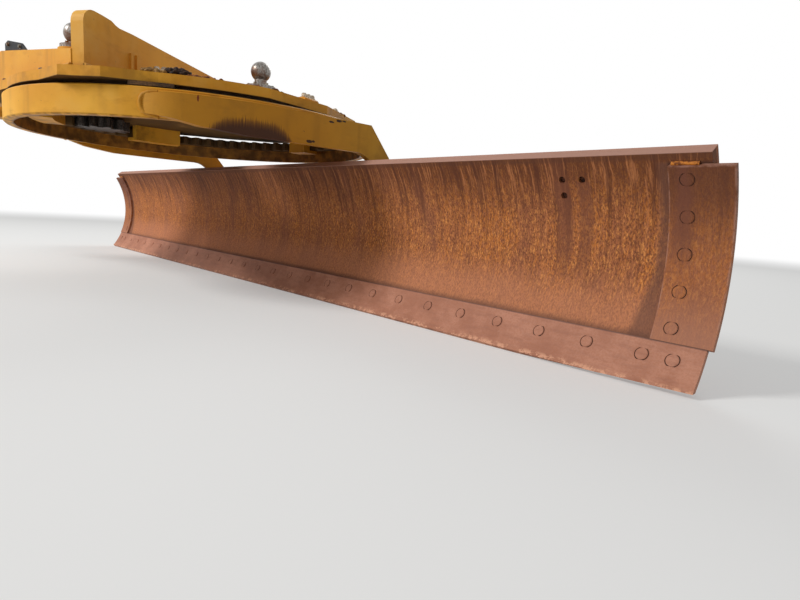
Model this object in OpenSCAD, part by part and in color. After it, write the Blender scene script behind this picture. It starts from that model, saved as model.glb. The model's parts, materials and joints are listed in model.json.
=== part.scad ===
// Blade group of a road-grading machine: drawbar, toothed circle, tilting carrier
// and curved moldboard. The origin is the centre of the drawbar's ball, with the
// machine's front towards -Y, its left towards +X and the circle's axis along +Z.

/* [Circle] */
// Distance from the ball's centre back to the circle's axis
circle_back = 1850; // [1750:10:2300]
// Height of the ball's centre above the circle's underside
ball_height = 190; // [180:1:210]
// Outer radius of the circle's wall
ring_r = 775; // [760:1:790]
// Height of the circle's wall
ring_h = 102; // [98:1:112]
// Thickness of the circle's wall
ring_wall = 35; // [30:1:40]
// Angle of the moldboard across the machine at rest
swing = 57; // [0:1:90]

/* [Teeth] */
// Teeth round the inside of the circle
ring_teeth = 64; // [64:1:64]
// Teeth of the drive pinion
pinion_teeth = 10; // [10:1:10]
// Width of the flange outside the tooth roots
tooth_rim = 47; // [40:1:60]
// Pressure angle of the teeth
tooth_angle = 25; // [24:0.5:26]
// Play between meshing teeth, along the pitch line
tooth_play = 1.6; // [1:0.1:3]
// Thickness of the toothed flange
flange_t = 40; // [36:1:44]
// Depth of the toothed flange's top below the circle's top
flange_drop = 2; // [1:1:6]
// Thickness of a shoe's foot under the flange
shoe_foot_t = 16; // [12:1:20]
// Radius of the pinion's shaft
shaft_r = 40; // [30:1:50]

/* [Yoke] */
// Width of the yoke plate outside the circle at its two corners
plate_margin = 33; // [20:1:50]
// Thickness of the yoke plate
plate_t = 35; // [25:1:45]
// Gap between the circle's top and the yoke plate
plate_gap = 15; // [12:1:20]
// Distance of the plate's round rear inside the circle's outer radius
plate_inset = 17; // [5:1:35]
// Distance of the plate's front edge ahead of the circle's axis
plate_front = 840; // [820:5:900]
// Radius of the plate's middle opening
plate_hole_r = 200; // [150:5:210]
// Distance of the upright web's ends inside the plate's edge
web_inset = 1; // [0:1:40]
// Thickness of the upright web
web_t = 50; // [30:1:60]
// Height of the web's shoulders above the plate
web_h = 184; // [160:1:200]
// Height of the web at its middle
web_mid_h = 138; // [120:1:150]

/* [Beams] */
// Angle of each drawbar beam to the machine's centreline
beam_angle = 24.5; // [23.5:0.1:25.5]
// Width of a drawbar beam
beam_w = 120; // [90:1:130]
// Height of a beam above the plate at the plate's corner
beam_low = 57; // [48:1:66]
// Height of a beam above the plate where it stops rising
beam_high = 128; // [110:1:140]
// Distance from the plate's corner to where a beam stops rising
beam_rise_l = 630; // [560:10:700]
// Distance from the plate's corner to the lift ball, along the beam
lift_run = 80; // [78:1:100]
// Ledge of plate left outside each beam
beam_ledge = 30; // [20:1:40]
// Radius of the drawbar's ball
ball_r = 62; // [50:1:70]
// Radius of the balls that the lift and shift cylinders hold
stud_ball_r = 36; // [30:1:40]

/* [Arms] */
// Thickness of the arms that carry the blade
arm_t = 30; // [25:1:35]
// Height of an arm's top edge above the circle's underside
arm_top = 85; // [75:1:95]
// Depth of an arm's lower edge below the circle's underside
arm_low = 30; // [24:1:34]
// Radius of the leg's round foot
foot_r = 75; // [65:1:80]
// Distance of the tip pivot behind the circle's axis
pivot_y = 500; // [495:1:510]
// Depth of the tip pivot below the circle's underside
pivot_drop = 460; // [450:1:470]
// Radius of the tip pivot's pins
pin_r = 32; // [25:1:40]

/* [Moldboard] */
// Length of the moldboard's curved plate
moldboard_l = 4323; // [4000:1:4400]
// Radius of the moldboard's front face
blade_r = 488; // [480:1:495]
// Thickness of the moldboard's plate
moldboard_t = 22; // [16:1:26]
// Angle round the curve from its deepest point up to the top edge
blade_top = 34; // [30:0.5:36]
// Angle round the curve from its deepest point down to the plate's lower edge
blade_foot = 33; // [30:0.5:34]
// Angle round the curve down to the cutting edge's tip
edge_tip = 37.3; // [36:0.1:39]
// Visible height of the cutting edge
edge_h = 121; // [90:1:160]
// Thickness of the cutting edge and the end bits
edge_t = 14; // [10:1:20]
// Whole length across the two cutting edges
edge_l = 4427; // [4380:1:4480]
// Width of an end bit
bit_w = 149; // [120:1:180]
// Space from an end bit's top to the moldboard's top edge
bit_below = 28; // [15:1:50]
// Thickness of the strip that stiffens the top edge
lip_t = 14; // [10:1:20]
// Height of the strip that stiffens the top edge
lip_h = 60; // [40:1:80]
// Radius of the three small holes near the moldboard's left end
hole_r = 10; // [8:0.5:12]

/* [Slides] */
// Half length of the two slide rails
rail_half = 1650; // [1450:10:1800]
// Angle round the curve up to the upper rail
rail_up = 20; // [19:0.5:21]
// Angle round the curve down to the lower rail
rail_down = 18; // [17:0.5:19]
// Height of a rail's head across the slide
rail_head = 60; // [50:1:64]
// Thickness of a rail's head
rail_t = 36; // [30:1:40]
// Thickness of a rail's web
rail_web = 22; // [18:1:26]
// Clearance between a rail and its bearings
rail_play = 1.5; // [0.8:0.1:2.5]
// Length of a bearing along its rail
bearing_l = 120; // [80:1:140]
// Thickness of the carrier's side brackets
bracket_t = 30; // [20:1:34]
// Gap between a bracket and the leg outside it
bracket_gap = 7; // [6:0.5:10]
// Radius of the carrier's cross tube
tube_r = 50; // [40:1:55]

/* [Cylinders] */
// Radius of the side shift cylinder's barrel
shift_r = 42; // [38:1:44]
// Radius of the side shift cylinder's rod
shift_rod_r = 22; // [16:1:24]
// Travel of the moldboard to either side
shift_travel = 550; // [400:10:600]
// Radius of the tip cylinder's barrel
tip_r = 40; // [36:1:42]
// Radius of the tip cylinder's rod
tip_rod_r = 20; // [16:1:22]
// Radius of the pins at both ends of the tip cylinder
tip_pin_r = 19; // [16:0.5:20]
// Clearance round the front pin, which takes up the rod's drift
tip_drift = 8; // [7.5:0.1:9]

/* [Hidden] */
$fn = 64;
big = 3000;
weld_gap = 0.3;
paint = [0.86, 0.56, 0.09];
rust = [0.50, 0.27, 0.16];
bronze = [0.62, 0.45, 0.22];
chrome = [0.80, 0.80, 0.82];
dark = [0.16, 0.16, 0.17];
steel = [0.45, 0.42, 0.40];

// Heights above the circle's underside
plate_z = ring_h + plate_gap;
deck_z = plate_z + plate_t;

// Toothed flange and pinion
flange_z = ring_h - flange_drop - flange_t;
tooth_root_r = ring_r - ring_wall - tooth_rim;
tooth_module = 2 * tooth_root_r / (ring_teeth + 2);
pitch_r = tooth_module * ring_teeth / 2;
pinion_r = tooth_module * pinion_teeth / 2;
pinion_y = pinion_r - pitch_r;
addendum = 0.8 * tooth_module;
tooth_tip_r = pitch_r - addendum;
gear_overhang = 3;
shaft_top = deck_z + 98;

// Plan of the yoke and beams, about the circle's axis
plate_half = ring_r + plate_margin;
plate_r = ring_r - plate_inset;
corner_y = -14;
web_y = 55;
web_front = web_y - web_t / 2;
nose_rear = 1250;
nose_front = circle_back - 140;
edge_slope = tan(beam_angle);
side_in = 23;
side_l = 149;
web_half = plate_half - side_in * (web_y + web_t / 2 - corner_y) / side_l - web_inset;
function plate_edge_x(y) = plate_half + (y - corner_y) * edge_slope;
function beam_face_x(y, inset) = plate_edge_x(y) - inset / cos(beam_angle);
nose_half = 90;
// A place on a left beam, by its run from the plate's corner and inset from the edge
function on_beam(run, inset) = [
    plate_half - run * sin(beam_angle) - inset * cos(beam_angle),
    corner_y - run * cos(beam_angle) + inset * sin(beam_angle)];
function beam_top(run) = deck_z + beam_low + (beam_high - beam_low) * run / beam_rise_l;
lift_at = on_beam(lift_run, beam_ledge + beam_w / 2);
lift_boss_r = 54;
lift_boss_top = beam_top(lift_run + lift_boss_r) + 2;

// Blade section, about the circle's axis: the curve's centre and its back face
face_y = 326.3;
curve_y = face_y - blade_r;
curve_z = -360.1;
back_r = blade_r + moldboard_t;
edge_r = blade_r - edge_t;
pivot_z = -pivot_drop;
function on_curve(r, a) = [curve_y + r * cos(a), curve_z + r * sin(a)];
function off_rail(a, u, v) = [curve_y + (back_r + u) * cos(a) - v * sin(a),
    curve_z + (back_r + u) * sin(a) + v * cos(a)];
function arc_deg(length, r) = length / r * 180 / PI;
function arc_points(c, r, a0, a1, n) = [for (i = [0:n]) let (a = a0 + (a1 - a0) * i / n)
    [c[0] + r * cos(a), c[1] + r * sin(a)]];

edge_top = -edge_tip + arc_deg(edge_h, edge_r);
seam_gap = 0.6;
edge_short = 12;
bit_bottom = edge_top + arc_deg(seam_gap, edge_r);
bit_top = blade_top - arc_deg(bit_below, edge_r);

// Rail and bearing, measured out from the moldboard's back face
head_u = 30;
lip_u = 14;
lip_gap = 2;
bearing_wall = 26;
head_out = head_u + rail_t;
bearing_u = head_out + rail_play + bearing_wall - 2;
bearing_v = rail_head / 2 + rail_play + bearing_wall + 2;

// Places along the blade
arm_in = ring_r + weld_gap;
bracket_out = arm_in - bracket_gap;
bracket_in = bracket_out - bracket_t;
tube_y = pivot_y + 25;
tube_z = pivot_z + 90;

// Side shift cylinder
shift_a = -6;
shift_play = 8;
shift_c = on_curve(back_r + shift_play + shift_r, shift_a);
barrel_left = bracket_in - 38;
barrel_right = -540;
anchor_t = 40;
anchor_h = 100;
anchor_x = arm_in + arm_t + 5 + shift_travel + anchor_t / 2;
piston_l = 40;
piston_x = barrel_left - shift_travel - piston_l / 2 - 40;
gland_l = 30;

// Tip cylinder, from its pin under the ring to the crank on the cross tube
tip_back = [ring_r - 15, -95];
tip_front = [pivot_y - 84.5, pivot_z + 181.3];
tip_run = tip_front - tip_back;
tip_len = norm(tip_run);
tip_dir = atan2(tip_run[1], tip_run[0]);
tip_eye_r = 40;
tip_eye_w = 50;
tip_ear_t = 20;
tip_side_gap = 2;
tip_neck_l = tip_eye_r + 6;
tip_rod_out = 70;
tip_barrel_l = tip_len - tip_rod_out;
tip_bottom = 58;
tip_piston_s = 78;
tip_piston_l = 25;
rod_play = 0.3;

// Placing
module at_circle() translate([0, circle_back, -ball_height]) children();
module at_swing() at_circle() rotate([0, 0, swing]) children();
module on_side(side) {
    if (side > 0) children();
    else mirror([1, 0, 0]) children();
}
// A section drawn in Y and Z, run along X
module along_x(x0, length) translate([x0, 0, 0]) rotate([90, 0, 90])
    linear_extrude(length) children();
// Part of the moldboard's curve between two radii and two angles
module curved_plate(x0, length, r0, r1, a0, a1) along_x(x0, length)
    intersection() {
        translate([curve_y, curve_z]) difference() {
            circle(r = r1, $fn = 120);
            circle(r = r0, $fn = 120);
        }
        polygon([[curve_y, curve_z], on_curve(2 * r1, a0), on_curve(2 * r1, a1)]);
    }

// Involute teeth: half the angle that a tooth takes at a radius
function involute(a) = tan(a) * 180 / PI - a;
function half_tooth(n, r, gap) = 90 / n + involute(tooth_angle)
    - involute(acos(min(1, tooth_module * n / 2 * cos(tooth_angle) / r)))
    + arc_deg(gap / 2, tooth_module * n / 2);
function flank_radii(lo, hi, steps) = [for (i = [0:steps]) lo + (hi - lo) * i / steps];
function polar(r, a) = [r * cos(a), r * sin(a)];
module tooth_outline(n, radii, gap) {
    last = len(radii) - 1;
    polygon([for (t = [0:n - 1]) let (a = t * 360 / n) each concat(
        [for (i = [0:last]) polar(radii[i], a - half_tooth(n, radii[i], gap))],
        [for (i = [last:-1:0]) polar(radii[i], a + half_tooth(n, radii[i], gap))])]);
}

// Beams run forward from the plate's corners and close on the nose
// A section drawn along the beam's run and up, this far in from the plate's edge
module along_beam(inset, width) translate([plate_half, corner_y, 0])
    rotate([0, 0, -(90 + beam_angle)]) translate([0, -inset, 0]) rotate([90, 0, 0])
        linear_extrude(width) children();
module beam(side) color(paint) at_circle() on_side(side) {
    run_back = 300;
    end_run = -36;
    chamfer = 16;
    intersection() {
        along_beam(beam_ledge, beam_w) polygon([[-run_back, plate_z], [big, plate_z],
            [big, deck_z + beam_high], [beam_rise_l, deck_z + beam_high],
            [end_run, beam_top(end_run)], [end_run - chamfer, beam_top(end_run) - chamfer],
            [-run_back, beam_top(end_run) - chamfer]]);
        union() {
            translate([0, -plate_front, deck_z]) cube([big, plate_front + web_front, big]);
            translate([0, -nose_rear, 0]) cube([big, nose_rear - plate_front, big]);
        }
    }
    translate([lift_at[0], lift_at[1], deck_z])
        cylinder(r = lift_boss_r, h = lift_boss_top - deck_z);
}
module left_beam() beam(1);
module right_beam() beam(-1);

// An upright plate on the left beam's top that hoses are clipped to
module beam_bracket() {
    bracket_inset = beam_ledge + 12;
    plate_w = 10;
    // Columns: run along the beam and height above its top
    outline = [[400, 0], [457, 30], [592, 42], [626, 30], [626, 0]];
    color(dark) at_circle() along_beam(bracket_inset, plate_w)
        polygon([for (p = outline) [p[0], beam_top(p[0]) + p[1]]]);
}

module nose() {
    rear_out = beam_face_x(-nose_rear, beam_ledge);
    rear_in = beam_face_x(-nose_rear, beam_ledge + beam_w);
    mid_y = -nose_rear - (rear_out - nose_half) / edge_slope;
    color(paint) at_circle() translate([0, 0, plate_z])
        linear_extrude(plate_t + beam_high) difference() {
            polygon([[-rear_out, -nose_rear], [-nose_half, mid_y], [-nose_half, -nose_front],
                [nose_half, -nose_front], [nose_half, mid_y], [rear_out, -nose_rear]]);
            polygon([[-rear_in, -nose_rear + 1], [0, -nose_rear - rear_in / edge_slope],
                [rear_in, -nose_rear + 1]]);
        }
}

module drawbar_ball() {
    flange_r = 72;
    flange_l = 30;
    neck_r = 42;
    reach = circle_back - nose_front;
    color(steel) rotate([-90, 0, 0]) {
        sphere(r = ball_r);
        cylinder(r = neck_r, h = reach);
        translate([0, 0, reach - flange_l]) cylinder(r = flange_r, h = flange_l);
    }
}

// A box tie between the two beams, ahead of the circle
module beam_tie() {
    tie_y = -960;
    tie_l = 90;
    tie_h = 90;
    inset = beam_ledge + beam_w + weld_gap;
    front_x = beam_face_x(tie_y - tie_l, inset);
    rear_x = beam_face_x(tie_y, inset);
    color(paint) at_circle() translate([0, 0, deck_z]) linear_extrude(tie_h)
        polygon([[-rear_x, tie_y], [rear_x, tie_y], [front_x, tie_y - tie_l],
            [-front_x, tie_y - tie_l]]);
}

module plate_outline() {
    front_x = plate_edge_x(-plate_front);
    side_x = plate_half - side_in;
    side_y = corner_y + side_l;
    blend = polar(plate_r, 22.5);
    rear_x = 177;
    rear_y = plate_r - 68;
    notch = polar(plate_r, 51);
    intersection() {
        circle(r = plate_r, $fn = 160);
        polygon([[-big, -big], [big, -big], [big, notch[1]], notch, [rear_x, rear_y],
            [-rear_x, rear_y], [-notch[0], notch[1]], [-big, notch[1]]]);
    }
    polygon([[-front_x, -plate_front], [front_x, -plate_front], [plate_half, corner_y],
        [side_x, side_y], blend, [-blend[0], blend[1]], [-side_x, side_y],
        [-plate_half, corner_y]]);
}
module yoke_plate() color(paint) at_circle() translate([0, 0, plate_z])
    linear_extrude(plate_t) difference() {
        plate_outline();
        circle(r = plate_hole_r);
        translate([0, pinion_y]) circle(r = shaft_r + 20);
    }

// The upright web stands across the yoke, with a round shoulder at each end
module yoke_web() {
    shoulder_r = 45;
    top = deck_z + web_h;
    half = concat(
        arc_points([web_half - shoulder_r, top - shoulder_r], shoulder_r, 0, 90, 6),
        [[web_half - 85, top - 2], [web_half - 125, top - 6], [web_half - 145, top - 15],
            [web_half - 163, top - 19], [web_half - 225, top - 19]]);
    flipped = [for (i = [len(half) - 1:-1:0]) [-half[i][0], half[i][1]]];
    color(paint) at_circle() translate([0, web_y + web_t / 2, 0]) rotate([90, 0, 0])
        linear_extrude(web_t) polygon(concat([[web_half, deck_z]], half,
            [[0, deck_z + web_mid_h]], flipped, [[-web_half, deck_z]]));
}

// A ball on a stem and a round foot
module ball_stud(foot, stem_r, rise) {
    foot_t = 14;
    color(steel) {
        cylinder(r = foot, h = foot_t);
        cylinder(r = stem_r, h = rise);
        translate([0, 0, rise]) sphere(r = stud_ball_r);
    }
}
module lift_stud(side) at_circle() on_side(side)
    translate([lift_at[0], lift_at[1], lift_boss_top]) ball_stud(48, 20, 20 + stud_ball_r);
module left_lift_stud() lift_stud(1);
module right_lift_stud() lift_stud(-1);
module shift_stud() {
    place = polar(plate_r - 69, 50.3);
    at_circle() translate([place[0], place[1], deck_z]) ball_stud(55, 22, 30 + stud_ball_r);
}

// Shoes hang from the plate inside the circle and hold its flange from below
// Columns: angle round the circle, angle that the shoe spans and that its cap spans
outer_shoes = [[-123.5, 22, 13], [-56.5, 22, 13], [21, 11, 8], [159, 11, 8]];
rear_shoes = [[75, 11, 8], [105, 11, 8]];
all_shoes = concat(outer_shoes, rear_shoes);
shoe_leg_out = tooth_tip_r - 9;
shoe_leg_in = shoe_leg_out - 40;
strip_t = 3;
strip_play = 1;
shoe_out_r = tooth_root_r + 5;
module round_shoes(section, shoes) at_circle()
    for (s = shoes) rotate([0, 0, s[0] - s[1] / 2])
        rotate_extrude(angle = s[1], $fn = 160) polygon(section);
module circle_shoes() {
    lip_z = flange_z - strip_t - strip_play;
    foot_z = lip_z - shoe_foot_t;
    color(paint) round_shoes([[shoe_leg_in, foot_z], [shoe_out_r, foot_z], [shoe_out_r, lip_z],
        [shoe_leg_out, lip_z], [shoe_leg_out, plate_z], [shoe_leg_in, plate_z]], all_shoes);
}
// Caps on the plate, over the shoes, take the bolts that adjust them
module shoe_caps() {
    cap_t = 30;
    cap_in = shoe_leg_in - 6;
    cap_out = shoe_leg_out - 6;
    color(paint) round_shoes([[cap_in, deck_z], [cap_out, deck_z], [cap_out, deck_z + cap_t - 6],
        [cap_out - 6, deck_z + cap_t], [cap_in, deck_z + cap_t]],
        [for (s = all_shoes) [s[0], s[2]]]);
}
module lower_wear_strips() {
    strip_z = flange_z - strip_t - strip_play;
    strip_in = tooth_tip_r + 1;
    color(bronze) round_shoes([[strip_in, strip_z], [shoe_out_r, strip_z],
        [shoe_out_r, strip_z + strip_t], [strip_in, strip_z + strip_t]], all_shoes);
}
module upper_wear_strips() {
    strip_z = ring_h + 2;
    strip_out = ring_r - 3;
    strip_in = ring_r - ring_wall + 2;
    color(bronze) round_shoes([[strip_in, strip_z], [strip_out, strip_z],
        [strip_out, plate_z], [strip_in, plate_z]], outer_shoes);
}

// Swing drive: a round gear case on the plate with its motor on top
case_r = 130;
case_h = 190;
module swing_gearbox() {
    foot_flange_r = case_r + 40;
    foot_flange_t = 24;
    cap_h = 22;
    shaft_play = 0.05;
    color(paint) at_circle() translate([0, pinion_y, deck_z]) difference() {
        union() {
            cylinder(r = foot_flange_r, h = foot_flange_t);
            cylinder(r = case_r, h = case_h);
            cylinder(r = case_r - 26, h = case_h + cap_h);
            translate([0, 0, case_h / 2]) cylinder(r = case_r + 12, h = 26);
        }
        translate([0, 0, -1]) cylinder(r = shaft_r + shaft_play, h = shaft_top - deck_z + 2);
    }
}
module swing_motor() {
    cap_h = 22;
    motor_r = 58;
    motor_h = 130;
    port = 46;
    color(dark) at_circle() translate([0, pinion_y, deck_z + case_h + cap_h]) {
        cylinder(r = motor_r + 18, h = 18);
        cylinder(r = motor_r, h = motor_h);
        translate([-port / 2, 0, motor_h - 60]) cube([port, motor_r + 26, port]);
    }
}

module pinion() {
    root_r = pinion_r - tooth_module;
    base_r = pinion_r * cos(tooth_angle);
    radii = flank_radii(base_r, pinion_r + addendum, 4);
    gear_z = flange_z - gear_overhang;
    gear_h = flange_t + 2 * gear_overhang;
    color(steel) at_circle() translate([0, pinion_y, 0]) {
        translate([0, 0, gear_z]) linear_extrude(gear_h) rotate(-90) union() {
            tooth_outline(pinion_teeth, concat([root_r], radii), -tooth_play);
            circle(r = root_r);
        }
        translate([0, 0, gear_z]) cylinder(r = shaft_r, h = shaft_top - gear_z);
    }
}

module circle_ring() {
    chamfer = 5;
    wall_in = ring_r - ring_wall;
    radii = flank_radii(tooth_tip_r, tooth_root_r, 2);
    color(paint) at_swing() union() {
        rotate_extrude($fn = 160) polygon([[wall_in, 0], [ring_r - chamfer, 0],
            [ring_r, chamfer], [ring_r, ring_h - chamfer], [ring_r - chamfer, ring_h],
            [wall_in, ring_h]]);
        translate([0, 0, flange_z]) linear_extrude(flange_t) rotate(-90 - swing)
            difference() {
                circle(r = wall_in + 1, $fn = 160);
                tooth_outline(ring_teeth, radii, 0);
            }
    }
}

// An arm wraps the ring's side, then runs straight back and down to the tip pivot
arm_tip_y = -475;
knee_r = 105;
knee_y = 290;
module arm_profile() {
    tip_round = 32;
    knee_z = -arm_low - knee_r;
    polygon(concat(
        [[466, -36], [361, arm_top], [-430, arm_top]],
        arc_points([arm_tip_y, arm_top - 40], tip_round, 110, 250, 6),
        [[-417, 4], [-333, -15], [-177, -arm_low]],
        arc_points([knee_y, knee_z], knee_r, 90, 12, 6),
        [[pivot_y - 75, pivot_z + 275], [pivot_y - 60, pivot_z + 110],
            [pivot_y - foot_r, pivot_z + 8], [pivot_y, pivot_z], [pivot_y + foot_r, pivot_z],
            [pivot_y + foot_r, pivot_z + 160], [pivot_y + 40, pivot_z + 320]]));
    translate([pivot_y, pivot_z]) circle(r = foot_r);
}
// Seen from above, an arm's round part thins towards its front tip
module arm_plan() {
    out_r = arm_in + arm_t;
    nose_a = -28;
    nose_r = 250;
    difference() {
        union() {
            intersection() {
                circle(r = out_r, $fn = 160);
                polygon([[0, 0], polar(2 * out_r, nose_a), [2 * out_r, 0]]);
            }
            intersection() {
                translate(polar(out_r - nose_r, nose_a)) circle(r = nose_r, $fn = 120);
                polygon([[0, 0], polar(2 * out_r, nose_a - 30), polar(2 * out_r, nose_a)]);
            }
        }
        circle(r = arm_in, $fn = 160);
    }
}
module arm(side) color(paint) at_swing() on_side(side) difference() {
    union() {
        intersection() {
            translate([0, 0, -200]) linear_extrude(400) arm_plan();
            along_x(0, big) arm_profile();
        }
        intersection() {
            along_x(arm_in, arm_t) arm_profile();
            translate([0, 0, -big / 2]) cube([big, big, big]);
        }
        arm_gusset();
    }
    translate([arm_in - 1, pivot_y, pivot_z]) rotate([0, 90, 0])
        cylinder(r = pin_r, h = arm_t + 2);
}
// A flat web that ties the straight part of an arm to the ring
module arm_gusset() {
    gusset_y0 = 110;
    gusset_y1 = 370;
    gusset_z = 56;
    gusset_t = 20;
    translate([0, 0, gusset_z]) linear_extrude(gusset_t) difference() {
        translate([ring_r - 130, gusset_y0]) square([130 + weld_gap + 1, gusset_y1 - gusset_y0]);
        circle(r = ring_r + weld_gap, $fn = 160);
    }
}
module left_arm() arm(1);
module right_arm() arm(-1);

// Two ears under the ring's rear hold the tip cylinder's back pin
module tip_lug() {
    ear_x = tip_eye_w / 2 + tip_side_gap;
    rear_y = ring_r - 4;
    color(paint) at_swing() {
        for (side = [1, -1]) on_side(side) along_x(ear_x, tip_ear_t) {
            polygon([[ring_r - ring_wall, 0], [rear_y, 0],
                [tip_back[0] + tip_eye_r, tip_back[1]], [tip_back[0] - tip_eye_r, tip_back[1]]]);
            translate(tip_back) circle(r = tip_eye_r);
        }
        along_x(-ear_x - tip_ear_t - 8, 2 * (ear_x + tip_ear_t + 8))
            translate(tip_back) circle(r = tip_pin_r);
    }
}

module pivot_pins() {
    head_t = 12;
    pin_play = 0.05;
    color(steel) at_swing() for (side = [1, -1]) on_side(side)
        translate([bracket_in - 6, pivot_y, pivot_z]) rotate([0, 90, 0]) {
            cylinder(r = pin_r - pin_play, h = arm_in + arm_t - bracket_in + 6 + head_t);
            translate([0, 0, arm_in + arm_t - bracket_in + 6 + weld_gap])
                cylinder(r = pin_r + 14, h = head_t);
        }
}

// Tip cylinder, drawn along its own line from the back pin
module on_tip_line() at_swing() translate([0, tip_back[0], tip_back[1]])
    rotate([tip_dir, 0, 0]) children();
module round_along(r, s0, s1) translate([0, s0, 0]) rotate([-90, 0, 0])
    cylinder(r = r, h = s1 - s0);
module tip_barrel() color(paint) on_tip_line() difference() {
    union() {
        round_along(tip_r, tip_neck_l, tip_barrel_l);
        round_along(tip_r + 4, tip_barrel_l - 34, tip_barrel_l - 4);
        translate([-tip_eye_w / 2, 0, -tip_r + 10]) cube([tip_eye_w, tip_neck_l, 2 * tip_r - 20]);
        translate([-tip_eye_w / 2, 0, 0]) rotate([0, 90, 0])
            cylinder(r = tip_eye_r, h = tip_eye_w);
    }
    translate([-tip_eye_w, 0, 0]) rotate([0, 90, 0])
        cylinder(r = tip_pin_r + 0.05, h = 2 * tip_eye_w);
    round_along(tip_r - 8, tip_bottom, tip_barrel_l - gland_l);
    round_along(tip_rod_r + rod_play, tip_bottom, tip_barrel_l + 1);
}
module tip_rod() {
    eye_hole = tip_pin_r + tip_drift;
    eye_out = eye_hole + 14;
    color(chrome) on_tip_line() difference() {
        union() {
            round_along(tip_rod_r, tip_piston_s, tip_len - eye_hole - 4);
            round_along(tip_r - 8 - rod_play, tip_piston_s, tip_piston_s + tip_piston_l);
            translate([-tip_eye_w / 2, tip_len, 0]) rotate([0, 90, 0])
                cylinder(r = eye_out, h = tip_eye_w);
        }
        translate([-tip_eye_w, tip_len, 0]) rotate([0, 90, 0])
            cylinder(r = eye_hole, h = 2 * tip_eye_w);
    }
}

// Side bracket of the carrier, from the tip pivot to both rails
module bracket(side) color(paint) at_swing() on_side(side) difference() {
    union() {
        along_x(bracket_in, bracket_t) {
            polygon([off_rail(rail_up, bearing_u, bearing_v),
                off_rail(rail_up, bearing_u, -bearing_v),
                [pivot_y - 58, pivot_z + 160], [pivot_y - 62, pivot_z + 8],
                off_rail(-rail_down, bearing_u, bearing_v),
                off_rail(-rail_down, bearing_u, -bearing_v),
                [pivot_y - 30, pivot_z - 85], [pivot_y + foot_r, pivot_z - 10],
                [tube_y + 55, tube_z + 20], [tube_y + 12, tube_z + 110],
                [pivot_y - 60, -130]]);
            translate([pivot_y, pivot_z]) circle(r = foot_r);
        }
        translate([bracket_out - 1, pivot_y, pivot_z]) rotate([0, 90, 0])
            cylinder(r = pin_r + 22, h = bracket_gap + 0.5);
    }
    translate([bracket_in - 1, pivot_y, pivot_z]) rotate([0, 90, 0])
        cylinder(r = pin_r, h = bracket_t + bracket_gap + 2);
}
module left_bracket() bracket(1);
module right_bracket() bracket(-1);

// Cross tube between the brackets, with saddles for the shift cylinder and the crank
module cross_tube() {
    saddle_t = 30;
    saddle_x = 420;
    crank_x = tip_eye_w / 2 + tip_side_gap;
    half = bracket_in - weld_gap;
    color(paint) at_swing() {
        difference() {
            union() {
                along_x(-half, 2 * half) translate([tube_y, tube_z]) circle(r = tube_r);
                for (x = [-saddle_x, saddle_x]) along_x(x - saddle_t / 2, saddle_t) {
                    polygon([[tube_y, tube_z + 38], [shift_c[0], shift_c[1] + 38],
                        [shift_c[0], shift_c[1] - 38], [tube_y, tube_z - 38]]);
                    translate(shift_c) circle(r = shift_r + 7);
                }
            }
            along_x(-big / 2, big) translate(shift_c) circle(r = shift_r + 0.2);
        }
        for (side = [1, -1]) on_side(side) along_x(crank_x, tip_ear_t) difference() {
            union() {
                polygon([[tube_y - 30, tube_z - 20], [tube_y + 25, tube_z + 42],
                    [tip_front[0] + 24, tip_front[1] + 24], [tip_front[0] - 30, tip_front[1] - 16]]);
                translate(tip_front) circle(r = 36);
            }
            translate([tube_y, tube_z]) circle(r = tube_r - 2);
        }
        along_x(-crank_x - tip_ear_t - 8, 2 * (crank_x + tip_ear_t + 8))
            translate(tip_front) circle(r = tip_pin_r);
    }
}

// Bearings hook round a rail's head from behind
module bearing_section(a) translate([curve_y, curve_z]) rotate(a)
    translate([back_r, 0]) difference() {
        translate([lip_u, -bearing_v]) square([bearing_u - lip_u, 2 * bearing_v]);
        translate([head_u - lip_gap, -rail_head / 2 - rail_play])
            square([rail_t + lip_gap + rail_play, rail_head + 2 * rail_play]);
        translate([0, -rail_web / 2 - lip_gap])
            square([head_u, rail_web + 2 * lip_gap]);
    }
module bearings(a) color(bronze) at_swing() for (side = [1, -1]) on_side(side)
    along_x(bracket_out - bearing_l, bearing_l) bearing_section(a);
module upper_bearings() bearings(rail_up);
module lower_bearings() bearings(-rail_down);

module shift_barrel() color(paint) at_swing() difference() {
    union() {
        along_x(barrel_right, barrel_left - barrel_right) translate(shift_c)
            circle(r = shift_r);
        along_x(barrel_left - gland_l - 10, gland_l) translate(shift_c)
            circle(r = shift_r + 4);
    }
    along_x(barrel_right + 20, barrel_left - barrel_right - 20 - gland_l)
        translate(shift_c) circle(r = shift_r - 8);
    along_x(barrel_right + 20, big) translate(shift_c) circle(r = shift_rod_r + rod_play);
}

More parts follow.
